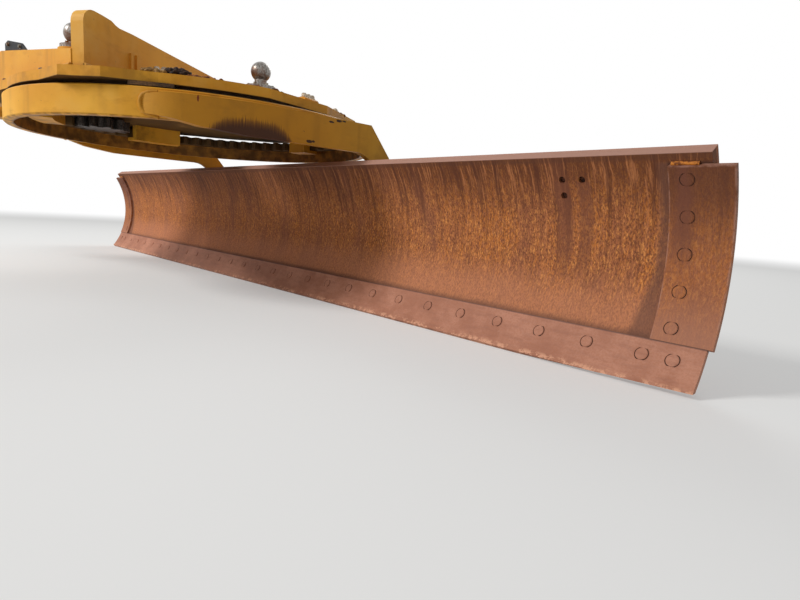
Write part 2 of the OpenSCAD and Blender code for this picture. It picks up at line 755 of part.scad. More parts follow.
// Moldboard, its three small holes, and what is bolted and welded to it
// Columns: distance along the blade and angle round the curve
holes = [[1766, 26], [1827, 26], [1767, 20.6]];
module moldboard() color(rust) at_swing() difference() {
    curved_plate(-moldboard_l / 2, moldboard_l, blade_r, back_r, -blade_foot, blade_top);
    for (h = holes) translate([h[0], curve_y, curve_z]) rotate([h[1], 0, 0])
        rotate([-90, 0, 0]) translate([0, 0, blade_r - 20])
            cylinder(r = hole_r, h = moldboard_t + 40);
}
module top_lip() color(rust) at_swing() curved_plate(-moldboard_l / 2, moldboard_l,
    back_r + weld_gap, back_r + lip_t, blade_top - arc_deg(lip_h, back_r), blade_top);
module rail(a) {
    chamfer = 4;
    web = rail_web / 2;
    head = rail_head / 2;
    color(steel) at_swing() along_x(-rail_half, 2 * rail_half)
        translate([curve_y, curve_z]) rotate(a) translate([back_r, 0])
            polygon([[weld_gap, -web], [head_u, -web], [head_u, -head],
                [head_out - chamfer, -head], [head_out, -head + chamfer],
                [head_out, head - chamfer], [head_out - chamfer, head], [head_u, head],
                [head_u, web], [weld_gap, web]]);
}
module upper_rail() rail(rail_up);
module lower_rail() rail(-rail_down);

module cutting_edge(side) color(rust) at_swing() on_side(side)
    curved_plate(seam_gap / 2, (edge_l - seam_gap) / 2 - edge_short, edge_r, blade_r,
        -edge_tip, edge_top);
// The left edge's outer corner is worn away
module left_cutting_edge() {
    // Columns: distance in from the edge's end and height that is gone
    worn = [[500, 0], [220, 9], [-1, 13]];
    end_x = edge_l / 2 - edge_short;
    low_z = on_curve(blade_r, -edge_tip)[1];
    color(rust) difference() {
        cutting_edge(1);
        at_swing() translate([0, big / 2, 0]) rotate([90, 0, 0]) linear_extrude(big)
            polygon(concat([for (w = worn) [end_x - w[0], low_z + w[1]]],
                [[end_x + 1, low_z - 50], [end_x - worn[0][0], low_z - 50]]));
    }
}
module right_cutting_edge() cutting_edge(-1);
module end_bit(side) color(rust) at_swing() on_side(side)
    curved_plate(edge_l / 2 - bit_w, bit_w, edge_r, blade_r, bit_bottom, bit_top);
module left_end_bit() end_bit(1);
module right_end_bit() end_bit(-1);

// A bracket behind the moldboard holds the shift rod's end
module shift_anchor() color(rust) at_swing() along_x(anchor_x - anchor_t / 2, anchor_t)
    difference() {
        union() {
            intersection() {
                translate([curve_y, curve_z]) rotate(shift_a)
                    translate([back_r - moldboard_t, -anchor_h / 2])
                        square([moldboard_t + shift_play + shift_r, anchor_h]);
                translate([curve_y, curve_z]) difference() {
                    circle(r = 2 * back_r);
                    circle(r = back_r + weld_gap, $fn = 120);
                }
            }
            translate(shift_c) circle(r = shift_r);
        }
        translate(shift_c) circle(r = shift_rod_r + 0.05);
    }
module shift_rod() color(chrome) at_swing() {
    along_x(piston_x - piston_l / 2, anchor_x + anchor_t / 2 - piston_x + piston_l / 2 + 12)
        translate(shift_c) circle(r = shift_rod_r);
    along_x(piston_x - piston_l / 2, piston_l) translate(shift_c)
        circle(r = shift_r - 8 - rod_play);
}

left_beam();
right_beam();
nose();
drawbar_ball();
beam_tie();
yoke_plate();
yoke_web();
left_lift_stud();
right_lift_stud();
shift_stud();
beam_bracket();
circle_shoes();
shoe_caps();
lower_wear_strips();
upper_wear_strips();
swing_gearbox();
swing_motor();
pinion();
circle_ring();
left_arm();
right_arm();
tip_lug();
pivot_pins();
tip_barrel();
tip_rod();
left_bracket();
right_bracket();
cross_tube();
upper_bearings();
lower_bearings();
shift_barrel();
moldboard();
top_lip();
upper_rail();
lower_rail();
left_cutting_edge();
right_cutting_edge();
left_end_bit();
right_end_bit();
shift_anchor();
shift_rod();
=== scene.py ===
import json
import math

import bpy
from mathutils import Matrix, Vector


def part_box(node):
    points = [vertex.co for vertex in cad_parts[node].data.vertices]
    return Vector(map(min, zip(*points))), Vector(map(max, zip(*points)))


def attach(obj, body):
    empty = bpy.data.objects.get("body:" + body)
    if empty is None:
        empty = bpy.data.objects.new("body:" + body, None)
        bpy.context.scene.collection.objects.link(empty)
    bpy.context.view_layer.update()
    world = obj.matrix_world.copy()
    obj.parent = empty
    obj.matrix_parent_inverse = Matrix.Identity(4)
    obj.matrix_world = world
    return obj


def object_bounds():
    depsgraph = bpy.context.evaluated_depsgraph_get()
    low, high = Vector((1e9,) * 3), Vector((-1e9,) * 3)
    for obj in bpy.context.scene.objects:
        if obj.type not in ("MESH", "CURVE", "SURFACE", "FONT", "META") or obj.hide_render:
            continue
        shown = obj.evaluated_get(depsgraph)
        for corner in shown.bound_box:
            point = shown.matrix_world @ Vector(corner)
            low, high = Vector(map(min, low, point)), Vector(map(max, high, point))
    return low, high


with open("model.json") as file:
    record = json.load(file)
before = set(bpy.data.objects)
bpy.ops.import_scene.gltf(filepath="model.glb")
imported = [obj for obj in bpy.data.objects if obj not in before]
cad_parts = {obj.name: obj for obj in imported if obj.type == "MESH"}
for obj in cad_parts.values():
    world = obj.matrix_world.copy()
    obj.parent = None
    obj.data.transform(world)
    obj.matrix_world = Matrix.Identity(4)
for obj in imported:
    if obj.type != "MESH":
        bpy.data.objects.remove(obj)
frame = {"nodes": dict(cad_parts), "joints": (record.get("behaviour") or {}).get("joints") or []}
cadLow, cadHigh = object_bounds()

# Places that come from the frame: the circle's axis, the line along the moldboard, and heights of
# the plate's two faces above the circle's underside
joints = {joint["name"]: joint for joint in frame["joints"]}
circleCentre = Vector(joints["circle_swing"]["pos_m"])
pinionCentre = Vector(joints["pinion_spin"]["pos_m"])
bladeAxis = Vector(joints["blade_tip"]["axis"])
swing = math.atan2(bladeAxis.y, bladeAxis.x)
onDrawbar = Matrix.Translation(circleCentre)
onBlade = onDrawbar @ Matrix.Rotation(swing, 4, "Z")
plateUnder, deck = [corner.z - circleCentre.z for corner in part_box("yoke_plate")]
up = Vector((0, 0, 1))

# The moldboard's curve: its centre from the circle's, radii and half lengths in metres, and places
# round it in degrees
curve = {
    "y": -0.1617, "z": -0.3601, "face": 0.488, "back": 0.510, "edgeFace": 0.474,
    "halfEdge": 2.2135, "halfPlate": 2.1615, "bitIn": 2.0645,
    "tip": -37.3, "seam": -22.67, "stripFoot": 27.05, "bitTop": 30.6, "top": 34.0, "rails": (20.0, -18.0),
}


def onCurve(x, degrees, radius):
    a = math.radians(degrees)
    return Vector((x, curve["y"] + radius * math.cos(a), curve["z"] + radius * math.sin(a)))


def outward(degrees):
    a = math.radians(degrees)
    return Vector((0, math.cos(a), math.sin(a)))


def arcDegrees(length, radius):
    return math.degrees(length / radius)


def polar(radius, degrees, height):
    a = math.radians(degrees)
    return Vector((radius * math.cos(a), radius * math.sin(a), height))


# Node helpers, for shader trees and geometry trees alike. Each adds to the tree under way
underWay = {}


def add(kind, inputs=None, **settings):
    tree = underWay["tree"]
    made = tree.nodes.new(kind)
    for key, value in settings.items():
        setattr(made, key, value)
    for key, value in (inputs or {}).items():
        if isinstance(value, bpy.types.NodeSocket):
            tree.links.new(value, made.inputs[key])
        else:
            made.inputs[key].default_value = value
    return made


def maths(operation, first, second=0.0):
    return add("ShaderNodeMath", {0: first, 1: second}, operation=operation).outputs[0]


def plus(first, second):
    return maths("ADD", first, second)


def minus(first, second):
    return maths("SUBTRACT", first, second)


def larger(first, second):
    return maths("MAXIMUM", first, second)


def times(*values):
    product = values[0]
    for value in values[1:]:
        product = maths("MULTIPLY", product, value)
    return product


def distance(first, second):     # made by two steps at right angles
    return maths("SQRT", plus(times(first, first), times(second, second)))


def sway(pattern, *amounts):     # a pattern from 0 to 1, swung to either side of zero
    return times(minus(pattern, 0.5), *amounts)


def noise(vector, scale, detail=3.0, roughness=0.55):
    sizes = {"Vector": vector, "Scale": scale, "Detail": detail, "Roughness": roughness}
    return add("ShaderNodeTexNoise", sizes).outputs["Fac"]


def between(value, low, high):     # 0 at low, 1 at high, whichever is the larger
    sizes = {"Value": value, "From Min": low, "From Max": high}
    return add("ShaderNodeMapRange", sizes, interpolation_type="SMOOTHSTEP").outputs["Result"]


def blend(amount, first, second):
    return add("ShaderNodeMix", {0: amount, 6: first, 7: second}, data_type="RGBA").outputs[2]


def stretched(vector, x, y, z):     # a pattern drawn out along the axis with the small number
    return add("ShaderNodeVectorMath", {0: vector, 1: (x, y, z)}, operation="MULTIPLY").outputs[0]


def splitXyz(vector):
    return add("ShaderNodeSeparateXYZ", {0: vector}).outputs[:]


def joinXyz(x, y, z):
    return add("ShaderNodeCombineXYZ", {0: x, 1: y, 2: z}).outputs[0]


def tint(red, green, blue):     # a colour as it shows on a screen, 0 to 255
    linear = []
    for value in (red, green, blue):
        share = value / 255
        linear.append(share / 12.92 if share < 0.04045 else ((share + 0.055) / 1.055) ** 2.4)
    return (*linear, 1.0)


def coat(colour, over, *amounts):     # one more tint over a colour, as dense as the amounts say
    return blend(times(*amounts), colour, tint(*over))


def startMaterial(name, place):
    made = bpy.data.materials.new(name)
    made.use_nodes = True
    made.node_tree.nodes.clear()
    underWay.update(material=made, tree=made.node_tree)
    coords = add("ShaderNodeTexCoord").outputs["Object"]
    return add("ShaderNodeMapping", {"Vector": coords, "Location": place.to_translation(),
               "Rotation": place.to_euler()}, vector_type="TEXTURE").outputs[0]


def endMaterial(colour, roughness, height, depth, metallic=0.0, shine=0.5):
    bump = add("ShaderNodeBump", {"Height": height, "Distance": depth})
    surface = {"Base Color": colour, "Roughness": roughness, "Metallic": metallic,
               "Specular IOR Level": shine, "Normal": bump.outputs["Normal"]}
    shader = add("ShaderNodeBsdfPrincipled", surface)
    add("ShaderNodeOutputMaterial", {"Surface": shader.outputs["BSDF"]})
    return underWay["material"]


# Paint: yellow enamel under dust, with brown runs, scuffs, grime and a few small chips
paintLook = {
    "fresh": (240, 178, 58), "deep": (218, 150, 36), "dust": (222, 182, 108), "run": (150, 98, 30),
    "rust": (92, 50, 28), "grime": (106, 66, 22), "scuff": (190, 126, 34), "shadow": (54, 36, 18),
}
paintFinish = {"depth": 0.0004, "shine": 0.22}


def paintLayers(centred, grimy, dusty):
    wide = noise(centred, 1.7)
    cloud = noise(centred, 6.0, 5.0, 0.6)
    fine = noise(centred, 150.0, 3.0, 0.7)
    runs = noise(stretched(centred, 16.0, 16.0, 1.4), 1.0, 2.0)
    scuffs = noise(stretched(centred, 9.0, 9.0, 30.0), 1.0, 4.0, 0.7)
    chips = noise(centred, 38.0, 6.0, 0.75)
    colour = blend(between(wide, 0.36, 0.64), tint(*paintLook["fresh"]), tint(*paintLook["deep"]))
    colour = coat(colour, paintLook["dust"], between(cloud, 0.46, 0.74), dusty)
    colour = coat(colour, paintLook["scuff"], between(scuffs, 0.52, 0.72), 0.35)
    colour = coat(colour, paintLook["run"], between(runs, 0.52, 0.74), between(cloud, 0.66, 0.42), 0.42)
    colour = coat(colour, paintLook["grime"], between(cloud, 0.56, 0.34), grimy)
    chipped = times(between(chips, 0.68, 0.70), between(wide, 0.48, 0.56))
    colour = coat(colour, paintLook["rust"], chipped)
    rough = plus(times(cloud, 0.30), 0.38)
    height = minus(times(fine, 0.30), chipped)
    return colour, rough, height, cloud


def makePaint(name, place, grimy, dusty, shadedBelow=None, ledgeAt=None):
    centred = startMaterial(name, place)
    colour, rough, height, cloud = paintLayers(centred, grimy, dusty)
    # Painted shade: the plate's underside and the lowest few millimetres of its edge turn near black
    if shadedBelow:
        low = plus(splitXyz(centred)[2], times(cloud, 0.004))
        under = between(low, shadedBelow + 0.005, shadedBelow + 0.002)
        colour = coat(colour, paintLook["shadow"], under, 0.88)
        rough = larger(rough, times(under, 0.85))
    if ledgeAt:
        low = plus(splitXyz(centred)[2], times(cloud, 0.034))
        colour = coat(colour, paintLook["run"], between(low, ledgeAt + 0.034, ledgeAt + 0.010), 0.5)
    return endMaterial(colour, rough, height, **paintFinish)


# Arm: the same paint under a darker ochre coat, which is painted shade mottled like oil, with a dark
# smear along the lower edge and a few small marks
armLook = {
    "oilAndShade": (158, 106, 30), "smear": (62, 32, 17), "smearEdge": (96, 54, 26),
    "smearY": -0.163, "smearHalf": 0.158, "smearLow": -0.040, "smearRise": 0.066, "streak": 0.072,
    "marks": [
        {"y": -0.336, "z": 0.076, "long": 0.003, "tall": 0.013, "colour": (120, 52, 20)},
        {"y": 0.062, "z": -0.018, "long": 0.012, "tall": 0.006, "colour": (54, 30, 14)},
        {"y": 0.079, "z": -0.016, "long": 0.007, "tall": 0.004, "colour": (60, 36, 16)},
        {"y": 0.160, "z": 0.068, "long": 0.012, "tall": 0.004, "colour": (50, 30, 14)},
        {"y": 0.196, "z": 0.077, "long": 0.014, "tall": 0.005, "colour": (46, 26, 12)},
        {"y": 0.222, "z": 0.079, "long": 0.010, "tall": 0.003, "colour": (52, 32, 14)},
    ],
}


def makeArmPaint(name):
    centred = startMaterial(name, onBlade)
    colour, rough, height, cloud = paintLayers(centred, 0.22, 0.10)
    x, y, z = splitXyz(centred)
    # Painted shade: a darker ochre coat over the whole arm, 0.3 to 0.7 thick, mottled like oil
    oilAndShadeAmount = plus(times(between(cloud, 0.40, 0.66), 0.40), 0.30)
    colour = coat(colour, armLook["oilAndShade"], oilAndShadeAmount)
    across = maths("DIVIDE", minus(y, armLook["smearY"]), armLook["smearHalf"])
    arch = minus(1.0, times(across, across, across, across))
    ragged = noise(stretched(centred, 0.0, 230.0, 6.0), 1.0, 3.0, 0.7)
    dashed = noise(stretched(centred, 40.0, 90.0, 140.0), 1.0, 3.0, 0.7)
    top = plus(times(arch, armLook["smearRise"]), armLook["smearLow"])
    top = plus(top, sway(ragged, armLook["streak"]))
    depth = minus(top, z)
    near = between(x, 0.0, 0.2)
    colour = coat(colour, armLook["smearEdge"], between(depth, -0.006, 0.012), near, 0.7)
    colour = coat(colour, armLook["smear"], between(depth, 0.0, 0.030), near, 0.94)
    for mark in armLook["marks"]:
        dy = maths("DIVIDE", minus(y, mark["y"]), mark["long"])
        dz = maths("DIVIDE", minus(z, mark["z"]), mark["tall"])
        far = plus(plus(times(dy, dy), times(dz, dz)), sway(dashed, 3.0))
        colour = coat(colour, mark["colour"], between(far, 1.3, 0.7), near)
    return endMaterial(colour, rough, height, **paintFinish)


# Ring: the wall's outside is painted, its inside is brown with grime, the teeth are greased, and
# the foot is rubbed. Each pair gives the radius or height where a finish begins and where it is full
ringLook = {
    "brown": (96, 64, 30), "ochre": (152, 104, 46), "grease": (36, 28, 22), "dryGrease": (84, 68, 50),
    "rubbed": (120, 78, 36), "topDirt": (62, 42, 22),
    "inside": (0.764, 0.750), "teeth": (0.738, 0.730), "foot": (0.006, 0.001), "top": (0.1015, 0.1025),
}


def makeRingPaint(name):
    centred = startMaterial(name, onBlade)
    colour, rough, height, _ = paintLayers(centred, 0.10, 0.22)
    x, y, z = splitXyz(centred)
    radius = distance(x, y)
    smudge = noise(centred, 24.0, 4.0)
    inside = between(plus(radius, times(smudge, 0.02)), *ringLook["inside"])
    brown = blend(between(smudge, 0.35, 0.62), tint(*ringLook["brown"]), tint(*ringLook["ochre"]))
    greased = blend(smudge, tint(*ringLook["grease"]), tint(*ringLook["dryGrease"]))
    brown = blend(between(radius, *ringLook["teeth"]), brown, greased)
    colour = blend(times(inside, 0.92), colour, brown)
    foot = between(z, *ringLook["foot"])
    colour = coat(colour, ringLook["rubbed"], foot, between(smudge, 0.62, 0.40), 0.6)
    topped = between(plus(z, times(smudge, 0.002)), *ringLook["top"])
    colour = coat(colour, ringLook["topDirt"], topped, 0.9)
    return endMaterial(colour, rough, height, **paintFinish)


# Rust on the moldboard, laid out along the blade and round its curve: fine orange and dark
# grains, brown streaks from the top edge, broad stains and a smooth pink band above the seam
rustLook = {
    "smooth": (166, 102, 66), "orange": (192, 116, 54), "spark": (226, 150, 80), "dark": (88, 48, 30),
    "top": (94, 54, 34), "streak": (86, 48, 34), "line": (208, 136, 86), "stain": (122, 74, 54),
    "worn": (196, 130, 95), "rim": (178, 134, 116), "dirt": (112, 76, 62), "contact": (58, 38, 32),
    "underTop": (98, 62, 46),
}
rustFinish = {"depth": 0.0010, "shine": 0.18}


def rustColours(x, arc, radius, streaky, grainy):
    speck = noise(joinXyz(x, times(arc, 0.30), radius), 150.0, 4.0, 0.7)
    grain = noise(joinXyz(x, times(arc, 0.45), radius), 270.0, 3.0, 0.65)
    spark = noise(joinXyz(x, times(arc, 0.34), radius), 210.0, 4.0, 0.7)
    cloud = noise(joinXyz(x, arc, radius), 5.0, 4.0, 0.6)
    drawn = joinXyz(plus(x, sway(cloud, 0.03)), times(arc, 0.05), 0.0)
    streaks = noise(drawn, 52.0, 5.0, 0.65)
    thin = noise(drawn, 130.0, 3.0, 0.6)
    wavy = plus(x, sway(cloud, 0.10))
    columns = noise(joinXyz(wavy, times(arc, 0.35), 0.0), 7.0)
    flakes = times(between(speck, 0.42, 0.56), between(columns, 0.66, 0.40))
    colour = blend(flakes, tint(*rustLook["smooth"]), tint(*rustLook["orange"]))
    colour = coat(colour, rustLook["dark"], between(grain, 0.46, 0.58), 0.66 * grainy)
    colour = coat(colour, rustLook["spark"], between(spark, 0.52, 0.62), 0.80 * grainy)
    upper = between(plus(arc, times(streaks, 0.20)), 0.16, 0.38)
    colour = coat(colour, rustLook["top"], upper, 0.78 * streaky)
    lines = plus(times(upper, 0.30), 0.24)
    colour = coat(colour, rustLook["line"], between(thin, 0.54, 0.62), lines, streaky)
    runs = plus(times(upper, 0.30), 0.38)
    colour = coat(colour, rustLook["streak"], between(streaks, 0.50, 0.62), runs, streaky)
    colour = coat(colour, rustLook["stain"], between(columns, 0.55, 0.68), 0.42 * streaky)
    return colour, grain, cloud


def bladeCoords(centred):     # along the blade, round its curve, and out from the curve's centre
    x, y, z = splitXyz(centred)
    dy = minus(y, curve["y"])
    dz = minus(z, curve["z"])
    return x, times(maths("ARCTAN2", dz, dy), curve["face"]), distance(dy, dz)


def betweenDegrees(arc, low, high):
    limits = [math.radians(degrees) * curve["face"] for degrees in (low, high)]
    return between(arc, *limits)


def paleTop(colour, arc):     # rubbed along the top of the plate and of the strip behind it
    top = betweenDegrees(arc, curve["top"] - 0.25, curve["top"] - 0.04)
    return coat(colour, rustLook["rim"], top, 0.9)


plateLook = {
    "holeStains": [{"x": 1.766, "half": 0.026}, {"x": 1.830, "half": 0.020}],
    "stainTop": 0.222, "stainEnd": -0.12, "dirtHalf": 0.026, "dirtGrows": 0.20,
}


def makePlateRust(name):
    centred = startMaterial(name, onBlade)
    x, arc, radius = bladeCoords(centred)
    colour, grain, cloud = rustColours(x, arc, radius, 1.0, 1.0)
    for stain in plateLook["holeStains"]:
        off = maths("ABSOLUTE", minus(plus(x, sway(cloud, 0.05)), stain["x"]))
        beside = between(off, stain["half"] * 1.25, stain["half"] * 0.7)
        below = times(between(arc, plateLook["stainTop"], plateLook["stainTop"] - 0.01),
                      between(arc, plateLook["stainEnd"], plateLook["stainEnd"] + 0.16))
        colour = coat(colour, rustLook["stain"], beside, below, 0.62)
    low = plus(arc, times(cloud, 0.08))
    colour = coat(colour, rustLook["worn"], between(low, 0.03, -0.11), 0.70)
    colour = coat(colour, rustLook["stain"], between(grain, 0.48, 0.60), 0.26)
    # Dirt lies beside the end bits, wider towards the foot, and darkest where they touch the plate
    gap = minus(curve["bitIn"], maths("ABSOLUTE", x))
    wide = minus(plateLook["dirtHalf"], times(maths("MINIMUM", arc, 0.0), plateLook["dirtGrows"]))
    front = times(between(radius, curve["face"] + 0.004, curve["face"] + 0.001),
                  betweenDegrees(arc, curve["bitTop"] + 1.4, curve["bitTop"] - 0.1))
    colour = coat(colour, rustLook["dirt"], between(minus(wide, gap), -0.014, 0.010), front, 0.70)
    colour = coat(colour, rustLook["contact"], between(gap, 0.007, 0.002), front, 0.65)
    foot = plus(arc, times(cloud, 0.02))
    seam = betweenDegrees(foot, curve["seam"] + 4.07, curve["seam"] + 1.07)
    colour = coat(colour, rustLook["dirt"], seam, 0.70)
    under = betweenDegrees(arc, curve["top"] - 2.5, curve["top"] - 1.4)
    colour = paleTop(coat(colour, rustLook["underTop"], under, 0.5), arc)
    height = plus(times(grain, 0.7), times(cloud, 0.3))
    return endMaterial(colour, plus(times(grain, 0.15), 0.66), height, **rustFinish)


def makeStripRust(name):
    centred = startMaterial(name, onBlade)
    x, arc, radius = bladeCoords(centred)
    colour, grain, cloud = rustColours(x, arc, radius, 0.5, 0.6)
    colour = coat(colour, (150, 100, 82), between(cloud, 0.40, 0.60), 0.5)
    return endMaterial(paleTop(colour, arc), 0.75, grain, **rustFinish)


# Cutting edges: rust rubbed smooth by the soil, pale where the tip is chipped
edgeLook = {
    "deep": (168, 110, 84), "pale": (192, 134, 108), "drawn": (136, 86, 68), "speck": (164, 100, 64),
    "chip": (226, 168, 134), "nick": (206, 156, 132), "seam": (82, 54, 46),
}


def makeEdgeRust(name):
    centred = startMaterial(name, onBlade)
    x, arc, radius = bladeCoords(centred)
    flat = joinXyz(x, arc, radius)
    fine = noise(flat, 150.0, 4.0, 0.65)
    cloud = noise(flat, 8.0, 4.0, 0.6)
    drawn = noise(joinXyz(times(x, 0.25), arc, 0.0), 60.0, 4.0)
    chips = noise(flat, 40.0, 5.0, 0.75)
    nicks = noise(flat, 24.0, 6.0, 0.8)
    tip = betweenDegrees(arc, curve["tip"] + 2.4, curve["tip"] + 0.5)
    seam = betweenDegrees(arc, curve["seam"] - 0.63, curve["seam"] - 0.08)
    colour = blend(between(cloud, 0.35, 0.65), tint(*edgeLook["deep"]), tint(*edgeLook["pale"]))
    colour = coat(colour, edgeLook["drawn"], between(drawn, 0.45, 0.7), 0.28)
    colour = coat(colour, edgeLook["speck"], between(fine, 0.44, 0.60), 0.28)
    colour = coat(colour, edgeLook["chip"], tip, between(chips, 0.50, 0.56), 0.85)
    colour = coat(colour, edgeLook["nick"], between(nicks, 0.68, 0.71), 0.6)
    colour = coat(colour, edgeLook["seam"], seam, 0.85)
    return endMaterial(colour, plus(times(cloud, 0.2), 0.52), fine, 0.0005, shine=0.3)


# End bits: darker above, pale below, with a dark column along their bolts and rubbed rims
bitLook = {
    "even": (142, 90, 68), "top": (86, 50, 36), "column": (118, 72, 56), "low": (176, 122, 98),
    "columnX": 2.100,
}


def makeBitRust(name):
    centred = startMaterial(name, onBlade)
    x, arc, radius = bladeCoords(centred)
    colour, grain, cloud = rustColours(x, arc, radius, 0.55, 0.60)
    colour = coat(colour, bitLook["even"], 0.30)
    wavy = plus(arc, times(cloud, 0.10))
    colour = coat(colour, bitLook["top"], between(wavy, 0.04, 0.28), 0.62)
    side = maths("ABSOLUTE", x)
    column = maths("ABSOLUTE", minus(side, bitLook["columnX"]))
    column = between(plus(column, sway(cloud, 0.06)), 0.036, 0.012)
    colour = coat(colour, bitLook["column"], column, between(arc, -0.04, 0.10), 0.75)
    colour = coat(colour, bitLook["low"], betweenDegrees(wavy, 2.0, -17.0), 0.68)
    rim = larger(between(side, curve["halfEdge"] - 0.005, curve["halfEdge"] - 0.001),
                 betweenDegrees(arc, curve["bitTop"] - 0.5, curve["bitTop"] - 0.1))
    rim = larger(rim, between(side, curve["bitIn"] + 0.004, curve["bitIn"] + 0.001))
    ragged = between(noise(centred, 30.0), 0.35, 0.60)
    colour = coat(colour, rustLook["rim"], rim, ragged, 0.55)
    return endMaterial(colour, 0.68, grain, 0.0008, shine=rustFinish["shine"])


def makeCrust(name, dark, light):     # weld rust and caked dirt
    centred = startMaterial(name, onBlade)
    grain = noise(centred, 120.0)
    colour = blend(between(grain, 0.38, 0.62), tint(*dark), tint(*light))
    return endMaterial(colour, 0.7, grain, 0.0006, shine=rustFinish["shine"])


# Bare, bolted and plated metal
def makeSteel(name, light, dark, rust, roughness, grease=0.0):
    centred = startMaterial(name, onBlade)
    fine = noise(centred, 160.0)
    cloud = noise(centred, 14.0, 5.0, 0.65)
    colour = blend(between(fine, 0.35, 0.65), tint(*dark), tint(*light))
    colour = coat(colour, rust, between(cloud, 0.46, 0.62), 0.8)
    if grease:
        slick = between(noise(centred, 6.0, 4.0), 0.60, 0.40)
        colour = coat(colour, (34, 28, 24), slick, grease)
    return endMaterial(colour, plus(times(cloud, 0.3), roughness), fine, 0.0004, metallic=0.65)


def makeChrome(name):
    centred = startMaterial(name, onBlade)
    wipe = noise(stretched(centred, 3.0, 60.0, 60.0), 1.0)
    film = between(noise(centred, 9.0), 0.5, 0.8)
    colour = coat(tint(214, 215, 218), (150, 140, 126), film, 0.35)
    return endMaterial(colour, plus(times(wipe, 0.16), 0.06), wipe, 0.00008, metallic=1.0)


def makeBlackCase(name):
    centred = startMaterial(name, onDrawbar)
    cloud = noise(centred, 16.0, 4.0)
    fine = noise(centred, 180.0, 2.0)
    colour = blend(between(cloud, 0.45, 0.80), tint(22, 22, 24), tint(74, 68, 58))
    return endMaterial(colour, plus(times(cloud, 0.3), 0.42), fine, 0.0003, shine=0.2)


materials = {
    "drawbar": makePaint("weatheredYellow", onDrawbar, 0.06, 0.35, ledgeAt=deck),
    # The plate's paint is grimy, with painted shade on its underside
    "plate": makePaint("grimyYellowShadedBelow", onDrawbar, 0.40, 0.25, shadedBelow=plateUnder),
    "shoe": makePaint("shoeYellow", onDrawbar, 0.62, 0.10),
    "arm": makeArmPaint("oilyShadedArmYellow"),
    "ring": makeRingPaint("ringYellow"),
    "carrier": makePaint("carrierYellow", onBlade, 0.35, 0.30),
    "plateRust": makePlateRust("moldboardRust"),
    "stripRust": makeStripRust("lipRust"),
    "edgeRust": makeEdgeRust("smoothEdgeRust"),
    "bitRust": makeBitRust("endBitRust"),
    "weldRust": makeCrust("orangeWeldRust", (118, 66, 34), (206, 128, 52)),
    # dark rust in the gaps round the flush bolt heads, and painted shade on the bolt ends in the small
    # holes
    "gapRustAndHoleShade": makeCrust("darkGapRustAndHoleShade", (52, 30, 22), (92, 54, 38)),
    "rustCrust": makeCrust("rustyCrust", (84, 46, 28), (150, 92, 52)),
    "darkCrust": makeCrust("greasyCrust", (28, 20, 16), (70, 46, 30)),
    "dustCrust": makeCrust("dustyCrust", (112, 80, 40), (164, 124, 68)),
    "railSteel": makeSteel("railSteel", (150, 146, 140), (96, 90, 84), (112, 70, 44), 0.28, 0.4),
    "gearSteel": makeSteel("gearSteel", (128, 124, 120), (70, 66, 62), (60, 44, 32), 0.25, 0.6),
    "ballSteel": makeSteel("ballSteel", (176, 172, 166), (120, 112, 104), (118, 76, 48), 0.20, 0.25),
    "boltSteel": makeSteel("boltSteel", (150, 140, 122), (92, 84, 72), (120, 74, 42), 0.32),
    "brightSteel": makeSteel("brightSteel", (206, 194, 174), (152, 138, 118), (140, 98, 62), 0.30),
    "bronze": makeSteel("bronze", (104, 72, 38), (64, 44, 24), (44, 32, 22), 0.45, 0.70),
    "chrome": makeChrome("chromeRod"),
    "blackCase": makeBlackCase("blackCase"),
}
print("materials made:", len(materials))

nodeFinish = {
    "drawbar": ["left_beam", "right_beam", "nose", "beam_tie", "yoke_web", "swing_gearbox"],
    "plate": ["yoke_plate"],
    "shoe": ["circle_shoes", "shoe_caps"],
    "arm": ["left_arm", "right_arm"],
    "ring": ["circle_ring"],
    "carrier": ["tip_lug", "tip_barrel", "left_bracket", "right_bracket", "cross_tube", "shift_barrel"],
    "plateRust": ["moldboard", "shift_anchor"],
    "stripRust": ["top_lip"],
    "edgeRust": ["left_cutting_edge", "right_cutting_edge"],
    "bitRust": ["left_end_bit", "right_end_bit"],
    "railSteel": ["upper_rail", "lower_rail"],
    "gearSteel": ["pinion", "pivot_pins"],
    "ballSteel": ["drawbar_ball", "left_lift_stud", "right_lift_stud", "shift_stud"],
    "bronze": ["lower_wear_strips", "upper_wear_strips", "upper_bearings", "lower_bearings"],
    "chrome": ["tip_rod", "shift_rod"],
    "blackCase": ["swing_motor", "beam_bracket"],
}
for finish, names in nodeFinish.items():
    for name in names:
        for materialSlot in frame["nodes"][name].material_slots:
            materialSlot.material = materials[finish]


# Geometry Nodes: trees that set fasteners, clods and lugs on points, and lay weld beads along lines
def startTree(name, sizes):
    underWay["tree"] = bpy.data.node_groups.new(name, "GeometryNodeTree")
    face = underWay["tree"].interface
    face.new_socket("Geometry", in_out="OUTPUT", socket_type="NodeSocketGeometry")
    face.new_socket("Geometry", in_out="INPUT", socket_type="NodeSocketGeometry")
    for label, value in sizes.items():
        kind = "NodeSocketInt" if isinstance(value, int) else "NodeSocketFloat"
        face.new_socket(label, in_out="INPUT", socket_type=kind).default_value = value
    for label in ("material", "grooveMaterial"):
        face.new_socket(label, in_out="INPUT", socket_type="NodeSocketMaterial")
    return add("NodeGroupInput").outputs


def endTree(geometry):
    real = add("GeometryNodeRealizeInstances", {"Geometry": geometry})
    add("NodeGroupOutput", {0: real.outputs[0]})
    return underWay["tree"]


def painted(geometry, material):
    return add("GeometryNodeSetMaterial", {"Geometry": geometry, "Material": material}).outputs[0]


def smoothed(geometry):
    return add("GeometryNodeSetShadeSmooth", {"Geometry": geometry}).outputs[0]


def raised(geometry, height):
    return add("GeometryNodeTransform", {"Geometry": geometry,
               "Translation": joinXyz(0.0, 0.0, height)}).outputs[0]


